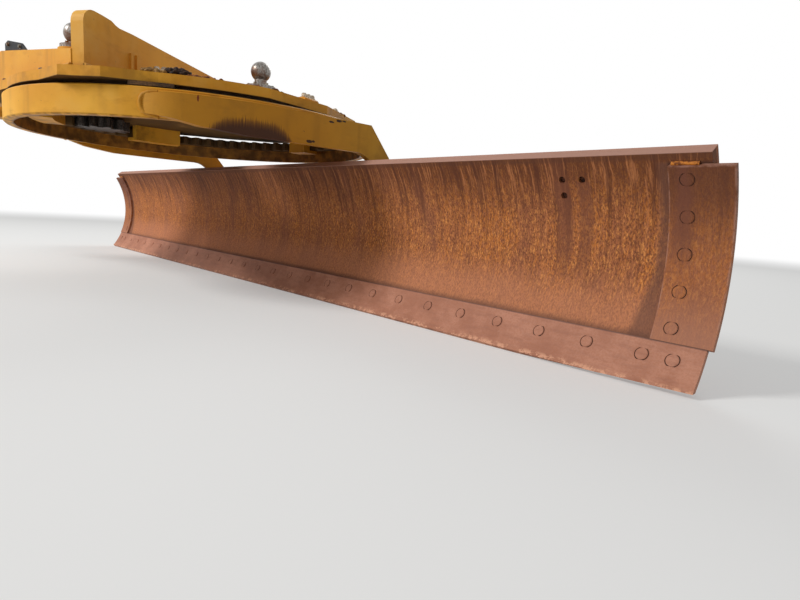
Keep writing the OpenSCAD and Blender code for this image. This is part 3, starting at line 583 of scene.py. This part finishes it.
def drum(vertices, radius, height, low):
    made = add("GeometryNodeMeshCylinder", {"Vertices": vertices, "Radius": radius, "Depth": height})
    return raised(made.outputs["Mesh"], plus(low, times(height, 0.5)))


def loop(steps, radius):
    return add("GeometryNodeCurvePrimitiveCircle", {"Resolution": steps, "Radius": radius}).outputs[0]


def joined(*parts):
    made = add("GeometryNodeJoinGeometry")
    for part in parts:
        underWay["tree"].links.new(part, made.inputs[0])
    return made.outputs[0]


def randomly(low, high, seed):
    return add("FunctionNodeRandomValue", {2: low, 3: high, "Seed": seed}).outputs[1]


def onPoints(points, copy, seed):     # each copy turned by up to a sixth about its own axis
    axis = add("GeometryNodeInputNamedAttribute", {"Name": "axis"}, data_type="FLOAT_VECTOR")
    turned = add("FunctionNodeAlignRotationToVector", {"Vector": axis.outputs[0]}, axis="Z")
    placed = add("GeometryNodeInstanceOnPoints", {"Points": points, "Instance": copy,
                 "Rotation": turned.outputs[0]})
    spin = joinXyz(0.0, 0.0, randomly(0.0, 1.05, seed))
    return add("GeometryNodeRotateInstances", {"Instances": placed.outputs[0],
               "Rotation": spin}).outputs[0]


def makeFastenerTree():
    sizes = startTree("hexFasteners", {"headRadius": 0.015, "headHeight": 0.010,
                      "washerRadius": 0.019, "washerHeight": 0.003, "stubRadius": 0.008,
                      "stubHeight": 0.0, "seed": 4})
    washer = drum(20, sizes["washerRadius"], sizes["washerHeight"], 0.0)
    body = times(sizes["headHeight"], 0.82)
    head = drum(6, sizes["headRadius"], body, sizes["washerHeight"])
    crown = drum(12, times(sizes["headRadius"], 0.88), sizes["headHeight"], sizes["washerHeight"])
    stub = drum(12, sizes["stubRadius"], sizes["stubHeight"], sizes["headHeight"])
    copy = painted(joined(washer, head, crown, stub), sizes["material"])
    return endTree(onPoints(sizes["Geometry"], copy, sizes["seed"]))


def makeFlushBoltTree():
    sizes = startTree("flushBoltHeads", {"headRadius": 0.0165, "headRise": 0.0012,
                      "grooveRadius": 0.0192, "grooveRise": 0.0003, "lipRadius": 0.0013,
                      "sunk": 0.004, "seed": 9})
    low = times(sizes["sunk"], -1.0)
    discs = []
    for radius, rise in ((sizes["grooveRadius"], sizes["grooveRise"]),
                         (sizes["headRadius"], sizes["headRise"]),
                         (times(sizes["headRadius"], 0.9), times(sizes["headRise"], 1.45))):
        discs.append(drum(36, radius, plus(sizes["sunk"], rise), low))
    groove, head, crown = discs
    lip = add("GeometryNodeCurveToMesh", {0: loop(36, sizes["grooveRadius"]),
              1: loop(8, sizes["lipRadius"])}).outputs[0]
    steel = joined(head, crown, raised(lip, -0.0006))
    copy = joined(painted(groove, sizes["grooveMaterial"]), painted(steel, sizes["material"]))
    return endTree(onPoints(sizes["Geometry"], copy, sizes["seed"]))


def makeWeldTree():
    sizes = startTree("weldBeads", {"beadRadius": 0.006, "ripple": 0.010, "unevenness": 0.35,
                      "seed": 2})
    line = add("GeometryNodeMeshToCurve", {0: sizes["Geometry"]}).outputs[0]
    step = times(sizes["ripple"], 0.34)
    fine = add("GeometryNodeResampleCurve", {"Curve": line, "Length": step}, mode="LENGTH")
    length = add("GeometryNodeSplineParameter").outputs["Length"]
    turns = maths("DIVIDE", times(length, 2 * math.pi), sizes["ripple"])
    wave = times(maths("SINE", turns), 0.10)
    spot = add("GeometryNodeInputPosition").outputs[0]
    pattern = add("ShaderNodeTexNoise", {"Vector": spot, "W": sizes["seed"], "Scale": 38.0},
                  noise_dimensions="4D").outputs[0]
    share = plus(plus(wave, sway(pattern, sizes["unevenness"])), 1.0)
    sized = add("GeometryNodeSetCurveRadius", {"Curve": fine.outputs[0], "Radius": share})
    bead = add("GeometryNodeCurveToMesh", {0: sized.outputs[0],
               1: loop(7, sizes["beadRadius"]), "Fill Caps": True})
    return endTree(painted(smoothed(bead.outputs[0]), sizes["material"]))


def makeClodTree():
    sizes = startTree("crustedClods", {"smallest": 0.006, "largest": 0.014, "flatness": 0.65,
                      "lumpiness": 0.7, "seed": 6})
    ball = add("GeometryNodeMeshIcoSphere", {"Subdivisions": 4}).outputs[0]
    scattered = onPoints(sizes["Geometry"], ball, sizes["seed"])
    size = randomly(sizes["smallest"], sizes["largest"], sizes["seed"])
    scale = joinXyz(size, times(size, 1.3), times(size, sizes["flatness"]))
    scaled = add("GeometryNodeScaleInstances", {"Instances": scattered, "Scale": scale})
    real = add("GeometryNodeRealizeInstances", {"Geometry": scaled.outputs[0]})
    spot = add("GeometryNodeInputPosition").outputs[0]
    lumps = add("ShaderNodeTexNoise", {"Vector": spot, "Scale": 70.0}).outputs[0]
    push = sway(lumps, sizes["lumpiness"], sizes["largest"], 2.0)
    normal = add("GeometryNodeInputNormal").outputs[0]
    offset = add("ShaderNodeVectorMath", {0: normal, "Scale": push}, operation="SCALE").outputs[0]
    moved = add("GeometryNodeSetPosition", {"Geometry": real.outputs[0], "Offset": offset})
    return endTree(painted(smoothed(moved.outputs[0]), sizes["material"]))


def makeLugTree():
    sizes = startTree("flatLugs", {"wide": 0.012, "deep": 0.010, "tall": 0.095})
    block = add("GeometryNodeMeshCube", {"Size": joinXyz(sizes["wide"], sizes["deep"], sizes["tall"])})
    lug = raised(block.outputs["Mesh"], times(sizes["tall"], 0.5))
    placed = add("GeometryNodeInstanceOnPoints", {"Points": sizes["Geometry"], "Instance": lug})
    return endTree(painted(placed.outputs[0], sizes["material"]))


trees = {
    "fasteners": makeFastenerTree(), "flushBolts": makeFlushBoltTree(), "welds": makeWeldTree(),
    "clods": makeClodTree(), "lugs": makeLugTree(),
}


def pointsMesh(name, rows, place):     # rows of a place and the way that a fastener points there
    mesh = bpy.data.meshes.new(name)
    mesh.from_pydata([place @ spot for spot, way in rows], [], [])
    turn = place.to_3x3()
    axis = mesh.attributes.new("axis", "FLOAT_VECTOR", "POINT")
    for index, (spot, way) in enumerate(rows):
        axis.data[index].vector = (turn @ way).normalized()
    return mesh


def linesMesh(name, lines, place):     # each line is a list of points, closed if it ends where it starts
    spots, edges = [], []
    for line in lines:
        closed = (line[0] - line[-1]).length < 1e-6
        kept = line[:-1] if closed else line
        first = len(spots)
        spots += [place @ spot for spot in kept]
        edges += [(first + i, first + i + 1) for i in range(len(kept) - 1)]
        if closed:
            edges.append((first + len(kept) - 1, first))
    mesh = bpy.data.meshes.new(name)
    mesh.from_pydata(spots, edges, [])
    return mesh


def newObject(name, data):
    made = bpy.data.objects.new(name, data)
    bpy.context.scene.collection.objects.link(made)
    return made


def grown(name, kind, rows, place, sizes, finish, body):     # rows are lines for welds
    base = (linesMesh if kind == "welds" else pointsMesh)(name + "_base", rows, place)
    piece = newObject(name + "_base", base)
    modifier = piece.modifiers.new("nodes", "NODES")
    modifier.node_group = trees[kind]
    values = {**sizes, "material": materials[finish]}
    for item in trees[kind].interface.items_tree:
        if item.item_type == "SOCKET" and item.in_out == "INPUT" and item.name in values:
            modifier[item.identifier] = values[item.name]
    bpy.context.view_layer.update()
    evaluated = piece.evaluated_get(bpy.context.evaluated_depsgraph_get())
    real = newObject(name, bpy.data.meshes.new_from_object(evaluated))
    bpy.data.objects.remove(piece)
    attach(real, body)
    print(name, len(real.data.polygons), "faces")


def spotsRound(centre, radius, normal, count, first=0.0):
    turn = up.rotation_difference(normal).to_matrix()
    return [centre + turn @ polar(radius, first + 360 * i / count, 0) for i in range(count)]


def circleLine(centre, radius, normal):
    spots = spotsRound(centre, radius, normal, 40)
    return spots + spots[:1]


def boltCircle(centre, radius, normal, count, first=0.0):
    return [(spot, normal) for spot in spotsRound(centre, radius, normal, count, first)]


# Blade: plow bolts with flush heads in front, nuts behind
edgeBolts = {"pitch": 0.1524, "perSide": 14, "extra": 2.1336, "rise": 0.078}
bitBolts = {"x": 2.1085, "first": 0.157, "pitch": 0.093, "count": 5}
boltHead = {"headRadius": 0.0158, "lipRadius": 0.0012, "grooveMaterial": materials["gapRustAndHoleShade"]}
boltNut = {"headRadius": 0.0175, "headHeight": 0.016, "washerRadius": 0.020, "stubRadius": 0.0095,
           "stubHeight": 0.014}
edgePlaces, bitPlaces = [], []
for side in (1, -1):
    edgeAngle = curve["tip"] + arcDegrees(edgeBolts["rise"], curve["edgeFace"])
    for k in range(edgeBolts["perSide"]):
        edgePlaces.append((side * (edgeBolts["pitch"] * (k + 0.5)), edgeAngle))
    edgePlaces.append((side * edgeBolts["extra"], edgeAngle))
    for k in range(bitBolts["count"]):
        rise = bitBolts["first"] + k * bitBolts["pitch"]
        bitPlaces.append((side * bitBolts["x"], curve["tip"] + arcDegrees(rise, curve["edgeFace"])))


def bladeRows(places, radius, way):     # way is 1 behind the plate and -1 in front of it
    return [(onCurve(x, degrees, radius), way * outward(degrees)) for x, degrees in places]


grown("edge_bolt_heads", "flushBolts", bladeRows(edgePlaces, curve["edgeFace"], -1), onBlade, boltHead,
      "edgeRust", "blade")
grown("bit_bolt_heads", "flushBolts", bladeRows(bitPlaces, curve["edgeFace"], -1), onBlade, boltHead,
      "bitRust", "blade")
grown("plow_bolt_nuts", "fasteners", bladeRows(edgePlaces + bitPlaces, curve["back"], 1), onBlade,
      boltNut, "weldRust", "blade")

# Dark bolt ends sit deep in the three small holes, with their heads behind the plate; the ends' dark
# colour is painted shade that keeps the holes dark
holeBolts = {
    "places": [(1.766, 26.0), (1.827, 26.0), (1.767, 20.6)], "depth": 0.013,
    "end": {"headRadius": 0.006, "headHeight": 0.002, "washerRadius": 0.0097, "washerHeight": 0.004,
            "stubRadius": 0.004},
    "head": {"headRadius": 0.014, "headHeight": 0.010, "washerRadius": 0.017},
}
endRows = bladeRows(holeBolts["places"], curve["face"] + holeBolts["depth"], -1)
grown("hole_bolt_ends", "fasteners", endRows, onBlade, holeBolts["end"], "gapRustAndHoleShade",
      "blade")
headRows = bladeRows(holeBolts["places"], curve["back"], 1)
grown("hole_bolt_heads", "fasteners", headRows, onBlade, holeBolts["head"], "weldRust",
      "blade")

# Stitch welds behind the plate, along its top strip and both sides of the rails' webs
stitch = {"half": 1.60, "length": 0.13, "pitch": 0.24, "railWeb": 0.013, "bead": 0.006}
bitBead = {"from": 0.006, "to": 0.070, "above": 0.35, "sunk": 0.003,
           "sizes": {"beadRadius": 0.0055, "unevenness": 0.7}}


def stitches(first, last, degrees):
    count = int((last - first - stitch["length"]) / stitch["pitch"]) + 1
    starts = [first + k * stitch["pitch"] for k in range(count)]
    radius = curve["back"] + 0.001
    return [[onCurve(x, degrees, radius), onCurve(x + stitch["length"], degrees, radius)] for x in starts]


beads = stitches(-curve["halfPlate"] + 0.05, curve["halfPlate"] - 0.02, curve["stripFoot"])
for railAngle in curve["rails"]:
    for way in (1, -1):
        beside = railAngle + arcDegrees(way * stitch["railWeb"], curve["back"])
        beads += stitches(-stitch["half"], stitch["half"], beside)
grown("blade_welds", "welds", beads, onBlade, {"beadRadius": stitch["bead"]}, "weldRust",
      "blade")
beads = []
for side in (1, -1):
    beads.append([onCurve(side * (curve["bitIn"] + inset), curve["bitTop"] + bitBead["above"],
                  curve["face"] - bitBead["sunk"]) for inset in (bitBead["from"], bitBead["to"])])
grown("bit_welds", "welds", beads, onBlade, bitBead["sizes"], "weldRust", "blade")
print("blade dressed")

# Drawbar: places from the circle's centre, with the web's and the pinion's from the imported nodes
webLow, webHigh = [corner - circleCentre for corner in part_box("yoke_web")]
gearCase = Vector((0, pinionCentre.y - circleCentre.y, deck))
plateCorner = {"x": 0.808, "y": -0.014, "angle": math.radians(24.5)}
beamLook = {
    "low": 0.057, "rise": 0.1127, "high": 0.128, "ledge": 0.030, "width": 0.120,
    "outerWeld": (-0.035, 0.915), "innerWeld": (0.030, 0.965), "noseWeld": (1.372, 1.425),
    "noseFoot": -0.034, "tieWelds": (1.108, 1.207), "tieHeights": (0.001, 0.090), "proud": 0.002,
}
gearLook = {     # height above the plate and radius, for bolts also their count and first angle
    "welds": [(0.024, 0.131), (0.095, 0.131), (0.190, 0.105)],
    "bolts": [(0.024, 0.150, 12, 15), (0.212, 0.090, 8, 22)],
    "smallBolts": [(0.230, 0.067, 4, 45), (0.121, 0.1365, 16, 0)],
}


def onBeam(side, run, inset, height):     # a place by its run from the plate's corner
    a = plateCorner["angle"]
    x = plateCorner["x"] - run * math.sin(a) - inset * math.cos(a)
    return Vector((side * x, plateCorner["y"] - run * math.cos(a) + inset * math.sin(a), height))


def beamTop(run):
    return deck + min(beamLook["low"] + beamLook["rise"] * run, beamLook["high"])


outer, inner, proud = beamLook["ledge"], beamLook["ledge"] + beamLook["width"], beamLook["proud"]
beads = []
for y in (webHigh.y + proud, webLow.y - proud):
    beads.append([Vector((x, y, deck + proud)) for x in (webLow.x, webHigh.x)])
for side in (1, -1):
    for inset, ends in ((outer - proud, beamLook["outerWeld"]), (inner + proud, beamLook["innerWeld"])):
        beads.append([onBeam(side, run, inset, deck + proud) for run in ends])
    start, end = beamLook["noseWeld"]
    top = deck + beamLook["high"]
    beads.append([onBeam(side, start, outer, height) for height in (deck + beamLook["noseFoot"], top)])
    beads.append([onBeam(side, start, outer, top), onBeam(side, end, inner, top)])
    for run in beamLook["tieWelds"]:
        beads.append([onBeam(side, run, inner, deck + height) for height in beamLook["tieHeights"]])
beads += [circleLine(gearCase + up * height, radius, up) for height, radius in gearLook["welds"]]
grown("drawbar_welds", "welds", beads, onDrawbar, {"beadRadius": 0.0065}, "drawbar",
      "drawbar")


def gearBolts(circles):
    rows = []
    for height, radius, count, first in circles:
        rows += boltCircle(gearCase + up * height, radius, up, count, first)
    return rows


ballFlange = {"y": 0.110, "radius": 0.058, "count": 8, "first": 10}
rows = gearBolts(gearLook["bolts"])
rows += boltCircle(Vector((0, ballFlange["y"], 0)) - circleCentre, ballFlange["radius"],
                   Vector((0, -1, 0)), ballFlange["count"], ballFlange["first"])
grown("drawbar_bolts", "fasteners", rows, onDrawbar, {"headRadius": 0.011, "washerRadius": 0.014},
      "boltSteel", "drawbar")

shoeBolts = {     # angles round the circle, and how far the outer bolts are from the middle one
    "angles": [(-123.5, 4.6), (-56.5, 4.6), (21, 2.4), (159, 2.4), (75, 2.4), (105, 2.4)],
    "radius": 0.618, "top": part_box("shoe_caps")[1].z - circleCentre.z,
    "sizes": {"headRadius": 0.012, "headHeight": 0.012, "washerRadius": 0.015, "stubHeight": 0.006},
}
rows = []
for angle, apart in shoeBolts["angles"]:
    for way in (-1, 0, 1):
        rows.append((polar(shoeBolts["radius"], angle + way * apart, shoeBolts["top"]), up))
grown("adjuster_bolts", "fasteners", rows, onDrawbar, shoeBolts["sizes"], "brightSteel",
      "drawbar")

# Small bolts: on the motor, the gear case, the studs' feet, the bracket and the beam's ledge
shiftFoot = {"radius": 0.689, "angle": 50.3, "rise": 0.014, "bolts": 0.042}
liftFoot = {"run": 0.080, "inset": 0.090, "rise": 0.0881, "bolts": 0.036}
sideBolts = {"bracket": [(0.457, 0.016), (0.584, 0.026)], "bracketInset": 0.042,
             "ledge": [0.22, 0.42, 0.60], "ledgeInset": 0.029, "ledgeRise": 0.012,
             "plug": [(-0.011, 0.084, 0.305), (0.011, 0.084, 0.305)]}
smallBolt = {"headRadius": 0.0062, "headHeight": 0.006, "washerRadius": 0.008,
             "washerHeight": 0.0015, "stubRadius": 0.003}
rows = gearBolts(gearLook["smallBolts"])
foot = polar(shiftFoot["radius"], shiftFoot["angle"], deck + shiftFoot["rise"])
rows += boltCircle(foot, shiftFoot["bolts"], up, 6)
for side in (1, -1):
    foot = onBeam(side, liftFoot["run"], liftFoot["inset"], deck + liftFoot["rise"])
    rows += boltCircle(foot, liftFoot["bolts"], up, 6)
rows += [(gearCase + Vector(place), Vector((0, 1, 0))) for place in sideBolts["plug"]]
outSide = Vector((math.cos(plateCorner["angle"]), -math.sin(plateCorner["angle"]), 0))
for run, rise in sideBolts["bracket"]:
    rows.append((onBeam(1, run, sideBolts["bracketInset"], beamTop(run) + rise), outSide))
for run in sideBolts["ledge"]:
    rows.append((onBeam(1, run, sideBolts["ledgeInset"], deck + sideBolts["ledgeRise"]), outSide))
grown("small_bolts", "fasteners", rows, onDrawbar, smallBolt, "boltSteel", "drawbar")

# Two short lugs stand behind the web, to hold a line
webLugs = {"xs": (0.548, 0.578), "behind": 0.004, "sunk": 0.001, "tall": 0.097}
rows = [(Vector((x, webHigh.y + webLugs["behind"], deck - webLugs["sunk"])), up) for x in webLugs["xs"]]
grown("web_lugs", "lugs", rows, onDrawbar, {"tall": webLugs["tall"]}, "plate", "drawbar")

# Dirt and rust have caked on the plate's rim, beside a shoe's cap and round the ball stud's foot.
# Each place is a radius and an angle about the circle's centre
clods = {
    "dusty_clods": {
        "finish": "dustCrust", "height": 0.003,
        "sizes": {"smallest": 0.014, "largest": 0.019, "flatness": 0.7, "seed": 12},
        "places": [(0.736, 19.4), (0.733, 20.8), (0.735, 22.3), (0.731, 23.8), (0.727, 25.0)],
    },
    "dark_clods": {
        "finish": "darkCrust", "height": 0.008,
        "sizes": {"smallest": 0.018, "largest": 0.024, "flatness": 0.8},
        "places": [(0.728, 26.0), (0.726, 27.2), (0.730, 28.4)],
    },
    "rusty_clods": {
        "finish": "rustCrust", "height": 0.0, "sizes": {"largest": 0.012},
        "places": [(0.746, 30.0), (0.744, 31.3), (0.747, 32.5), (0.745, 34.0), (0.746, 36.2),
                   (0.747, 38.0), (0.740, 47.2), (0.742, 48.1), (0.734, 53.6), (0.728, 55.6),
                   (0.683, 87.0), (0.682, 89.4), (0.683, 92.6), (0.700, 112.0), (0.738, 131.0)],
    },
}
for name, clod in clods.items():
    rows = [(polar(radius, angle, deck + clod["height"]), up) for radius, angle in clod["places"]]
    grown(name, "clods", rows, onDrawbar, clod["sizes"], clod["finish"], "drawbar")
print("drawbar dressed")

# Circle: beads between arms, lug and ring, keepers and grease fittings on the pivot pins
circleWelds = {
    "armRadius": 0.7753, "armHeight": 0.0865, "armEnds": (3, -34), "armSteps": 40,
    "stripHeights": (0.055, 0.077), "stripEnds": (0.12, 0.365), "stripX": 0.7743,
    "lugXs": (0.027, 0.047), "lugEnds": (0.745, 0.769), "lugHeight": -0.001, "bead": 0.0055,
}
noseWeld = {     # angle and height along the arm's nose
    "places": [(-34.2, 0.0860), (-36.4, 0.083), (-37.8, 0.074), (-38.4, 0.061), (-38.5, 0.045),
               (-38.2, 0.030), (-37.3, 0.017), (-35.8, 0.009), (-34.0, 0.004)],
    "radius": 0.7763, "sizes": {"beadRadius": 0.0068, "ripple": 0.014, "unevenness": 0.15},
}
pivotPin = {
    "end": (0.8176, 0.500, -0.460), "boltRadius": 0.030, "bolts": 3, "first": 30,
    "keeper": {"headRadius": 0.0085, "headHeight": 0.007, "washerRadius": 0.011},
    "fitting": {"headRadius": 0.006, "headHeight": 0.006, "washerRadius": 0.007,
                "stubRadius": 0.0032, "stubHeight": 0.009},
}
start, end = circleWelds["armEnds"]
steps = circleWelds["armSteps"]
armAngles = [start + (end - start) * i / steps for i in range(steps + 1)]
beads, noses, keepers, fittings = [], [], [], []
for side in (1, -1):
    flip = Matrix.Diagonal((side, 1, 1))
    beads.append([flip @ polar(circleWelds["armRadius"], a, circleWelds["armHeight"]) for a in armAngles])
    noses.append([flip @ polar(noseWeld["radius"], a, z) for a, z in noseWeld["places"]])
    for z in circleWelds["stripHeights"]:
        beads.append([Vector((side * circleWelds["stripX"], y, z)) for y in circleWelds["stripEnds"]])
    for x in circleWelds["lugXs"]:
        beads.append([Vector((side * x, y, circleWelds["lugHeight"])) for y in circleWelds["lugEnds"]])
    end = flip @ Vector(pivotPin["end"])
    way = Vector((side, 0, 0))
    keepers += boltCircle(end, pivotPin["boltRadius"], way, pivotPin["bolts"], pivotPin["first"])
    fittings.append((end, way))
grown("circle_welds", "welds", beads, onBlade, {"beadRadius": circleWelds["bead"]}, "ring",
      "circle")
grown("arm_nose_welds", "welds", noses, onBlade, noseWeld["sizes"], "arm", "circle")
grown("pin_keeper_bolts", "fasteners", keepers, onBlade, pivotPin["keeper"], "boltSteel",
      "circle")
grown("pin_grease_fittings", "fasteners", fittings, onBlade, pivotPin["fitting"], "boltSteel",
      "circle")

# Carrier: bolts on the rail bearings, beads round the cross tube at its plates and ends
bearing = {"out": 0.0915, "apart": 0.040, "xs": (0.668, 0.712),
           "sizes": {"headRadius": 0.012, "headHeight": 0.010, "washerRadius": 0.015}}
crossTube = {"y": 0.525, "z": -0.370, "radius": 0.051, "xs": (0.7365, 0.437, 0.403, 0.049, 0.025)}
rows = []
for railAngle in curve["rails"]:
    along = Vector((0, -math.sin(math.radians(railAngle)), math.cos(math.radians(railAngle))))
    for side in (1, -1):
        for x in bearing["xs"]:
            middle = onCurve(side * x, railAngle, curve["back"] + bearing["out"])
            rows += [(middle + along * way * bearing["apart"], outward(railAngle)) for way in (1, -1)]
grown("bearing_bolts", "fasteners", rows, onBlade, bearing["sizes"], "boltSteel", "carrier")
beads = []
for x in crossTube["xs"]:
    for side in (1, -1):
        middle = Vector((side * x, crossTube["y"], crossTube["z"]))
        beads.append(circleLine(middle, crossTube["radius"], Vector((1, 0, 0))))
grown("carrier_welds", "welds", beads, onBlade, {"beadRadius": 0.0055}, "carrier",
      "carrier")
print("circle and carrier dressed")


def seenBy(*rays):     # 1 for the rays that should find plain white
    path = add("ShaderNodeLightPath").outputs
    seen = path[rays[0]]
    for ray in rays[1:]:
        seen = larger(seen, path[ray])
    return seen


# Stage: a pale floor at the height of the moldboard's tip, white farther out
stageLook = {"half": 30.0, "below": 0.0005, "pale": (232, 231, 228), "glow": 0.30,
             "fadeFrom": 4.5, "fadeTo": 12.0}
floorZ = cadLow.z - stageLook["below"]
half = stageLook["half"]
corners = [(-half, -half, floorZ), (half, -half, floorZ), (half, half, floorZ), (-half, half, floorZ)]
floorMesh = bpy.data.meshes.new("floor")
floorMesh.from_pydata(corners, [], [(0, 1, 2, 3)])
floor = newObject("floor", floorMesh)
centred = startMaterial("paleFloor", onDrawbar)
x, y, _ = splitXyz(centred)
diffuse = add("ShaderNodeBsdfDiffuse", {"Color": tint(*stageLook["pale"])})
white = add("ShaderNodeEmission")
far = between(distance(x, y), stageLook["fadeFrom"], stageLook["fadeTo"])
fade = times(larger(far, stageLook["glow"]), seenBy("Is Camera Ray", "Is Glossy Ray"))
shade = add("ShaderNodeMixShader", {0: fade, 1: diffuse.outputs[0], 2: white.outputs[0]})
add("ShaderNodeOutputMaterial", {"Surface": shade.outputs[0]})
floorMesh.materials.append(underWay["material"])

# Light: a soft key from the machine's front left, a weak one from its right, even fill from the world
world = bpy.data.worlds.new("studio")
bpy.context.scene.world = world
world.use_nodes = True
world.node_tree.nodes.clear()
underWay["tree"] = world.node_tree
seen = seenBy("Is Camera Ray", "Is Glossy Ray", "Is Transmission Ray")
fill = add("ShaderNodeBackground", {"Color": (0.96, 0.98, 1.0, 1.0), "Strength": 0.34})
back = add("ShaderNodeBackground", {"Color": (1, 1, 1, 1)})
shade = add("ShaderNodeMixShader", {0: seen, 1: fill.outputs[0], 2: back.outputs[0]})
add("ShaderNodeOutputWorld", {"Surface": shade.outputs[0]})

lamps = {
    "key": {"from": (4.8, -4.4, 5.2), "to": (0.2, 2.2, -0.4), "size": 2.2, "power": 640},
    "side": {"from": (-6.0, 2.4, 4.0), "to": (0.0, 2.2, -0.3), "size": 4.0, "power": 150},
}
for name, lamp in lamps.items():
    light = bpy.data.lights.new(name, "AREA")
    light.size = lamp["size"]
    light.energy = lamp["power"]
    holder = newObject(name, light)
    holder.location = lamp["from"]
    aim = Vector(lamp["to"]) - Vector(lamp["from"])
    holder.rotation_euler = aim.to_track_quat("-Z", "Y").to_euler()

# Camera: fitted to the rows of bolts in the photograph
lens = {
    "place": (2.392, 3.441, -0.463), "right": (-0.2468, 0.9671, 0.0616),
    "up": (-0.1308, -0.0963, 0.9869), "back": (0.9603, 0.2355, 0.1503),
    "focal": 24.97, "sensor": 36.0,
}
camera = bpy.data.cameras.new("camera")
camera.lens = lens["focal"]
camera.sensor_width = lens["sensor"]
camera.sensor_fit = "HORIZONTAL"
camera.clip_start = 0.01
cameraObject = newObject("camera", camera)
columns = Matrix((lens["right"], lens["up"], lens["back"])).transposed()
cameraObject.matrix_world = Matrix.Translation(lens["place"]) @ columns.to_4x4()
bpy.context.scene.camera = cameraObject
bpy.context.scene.view_settings.view_transform = "Standard"
print("stage, lights and camera set")
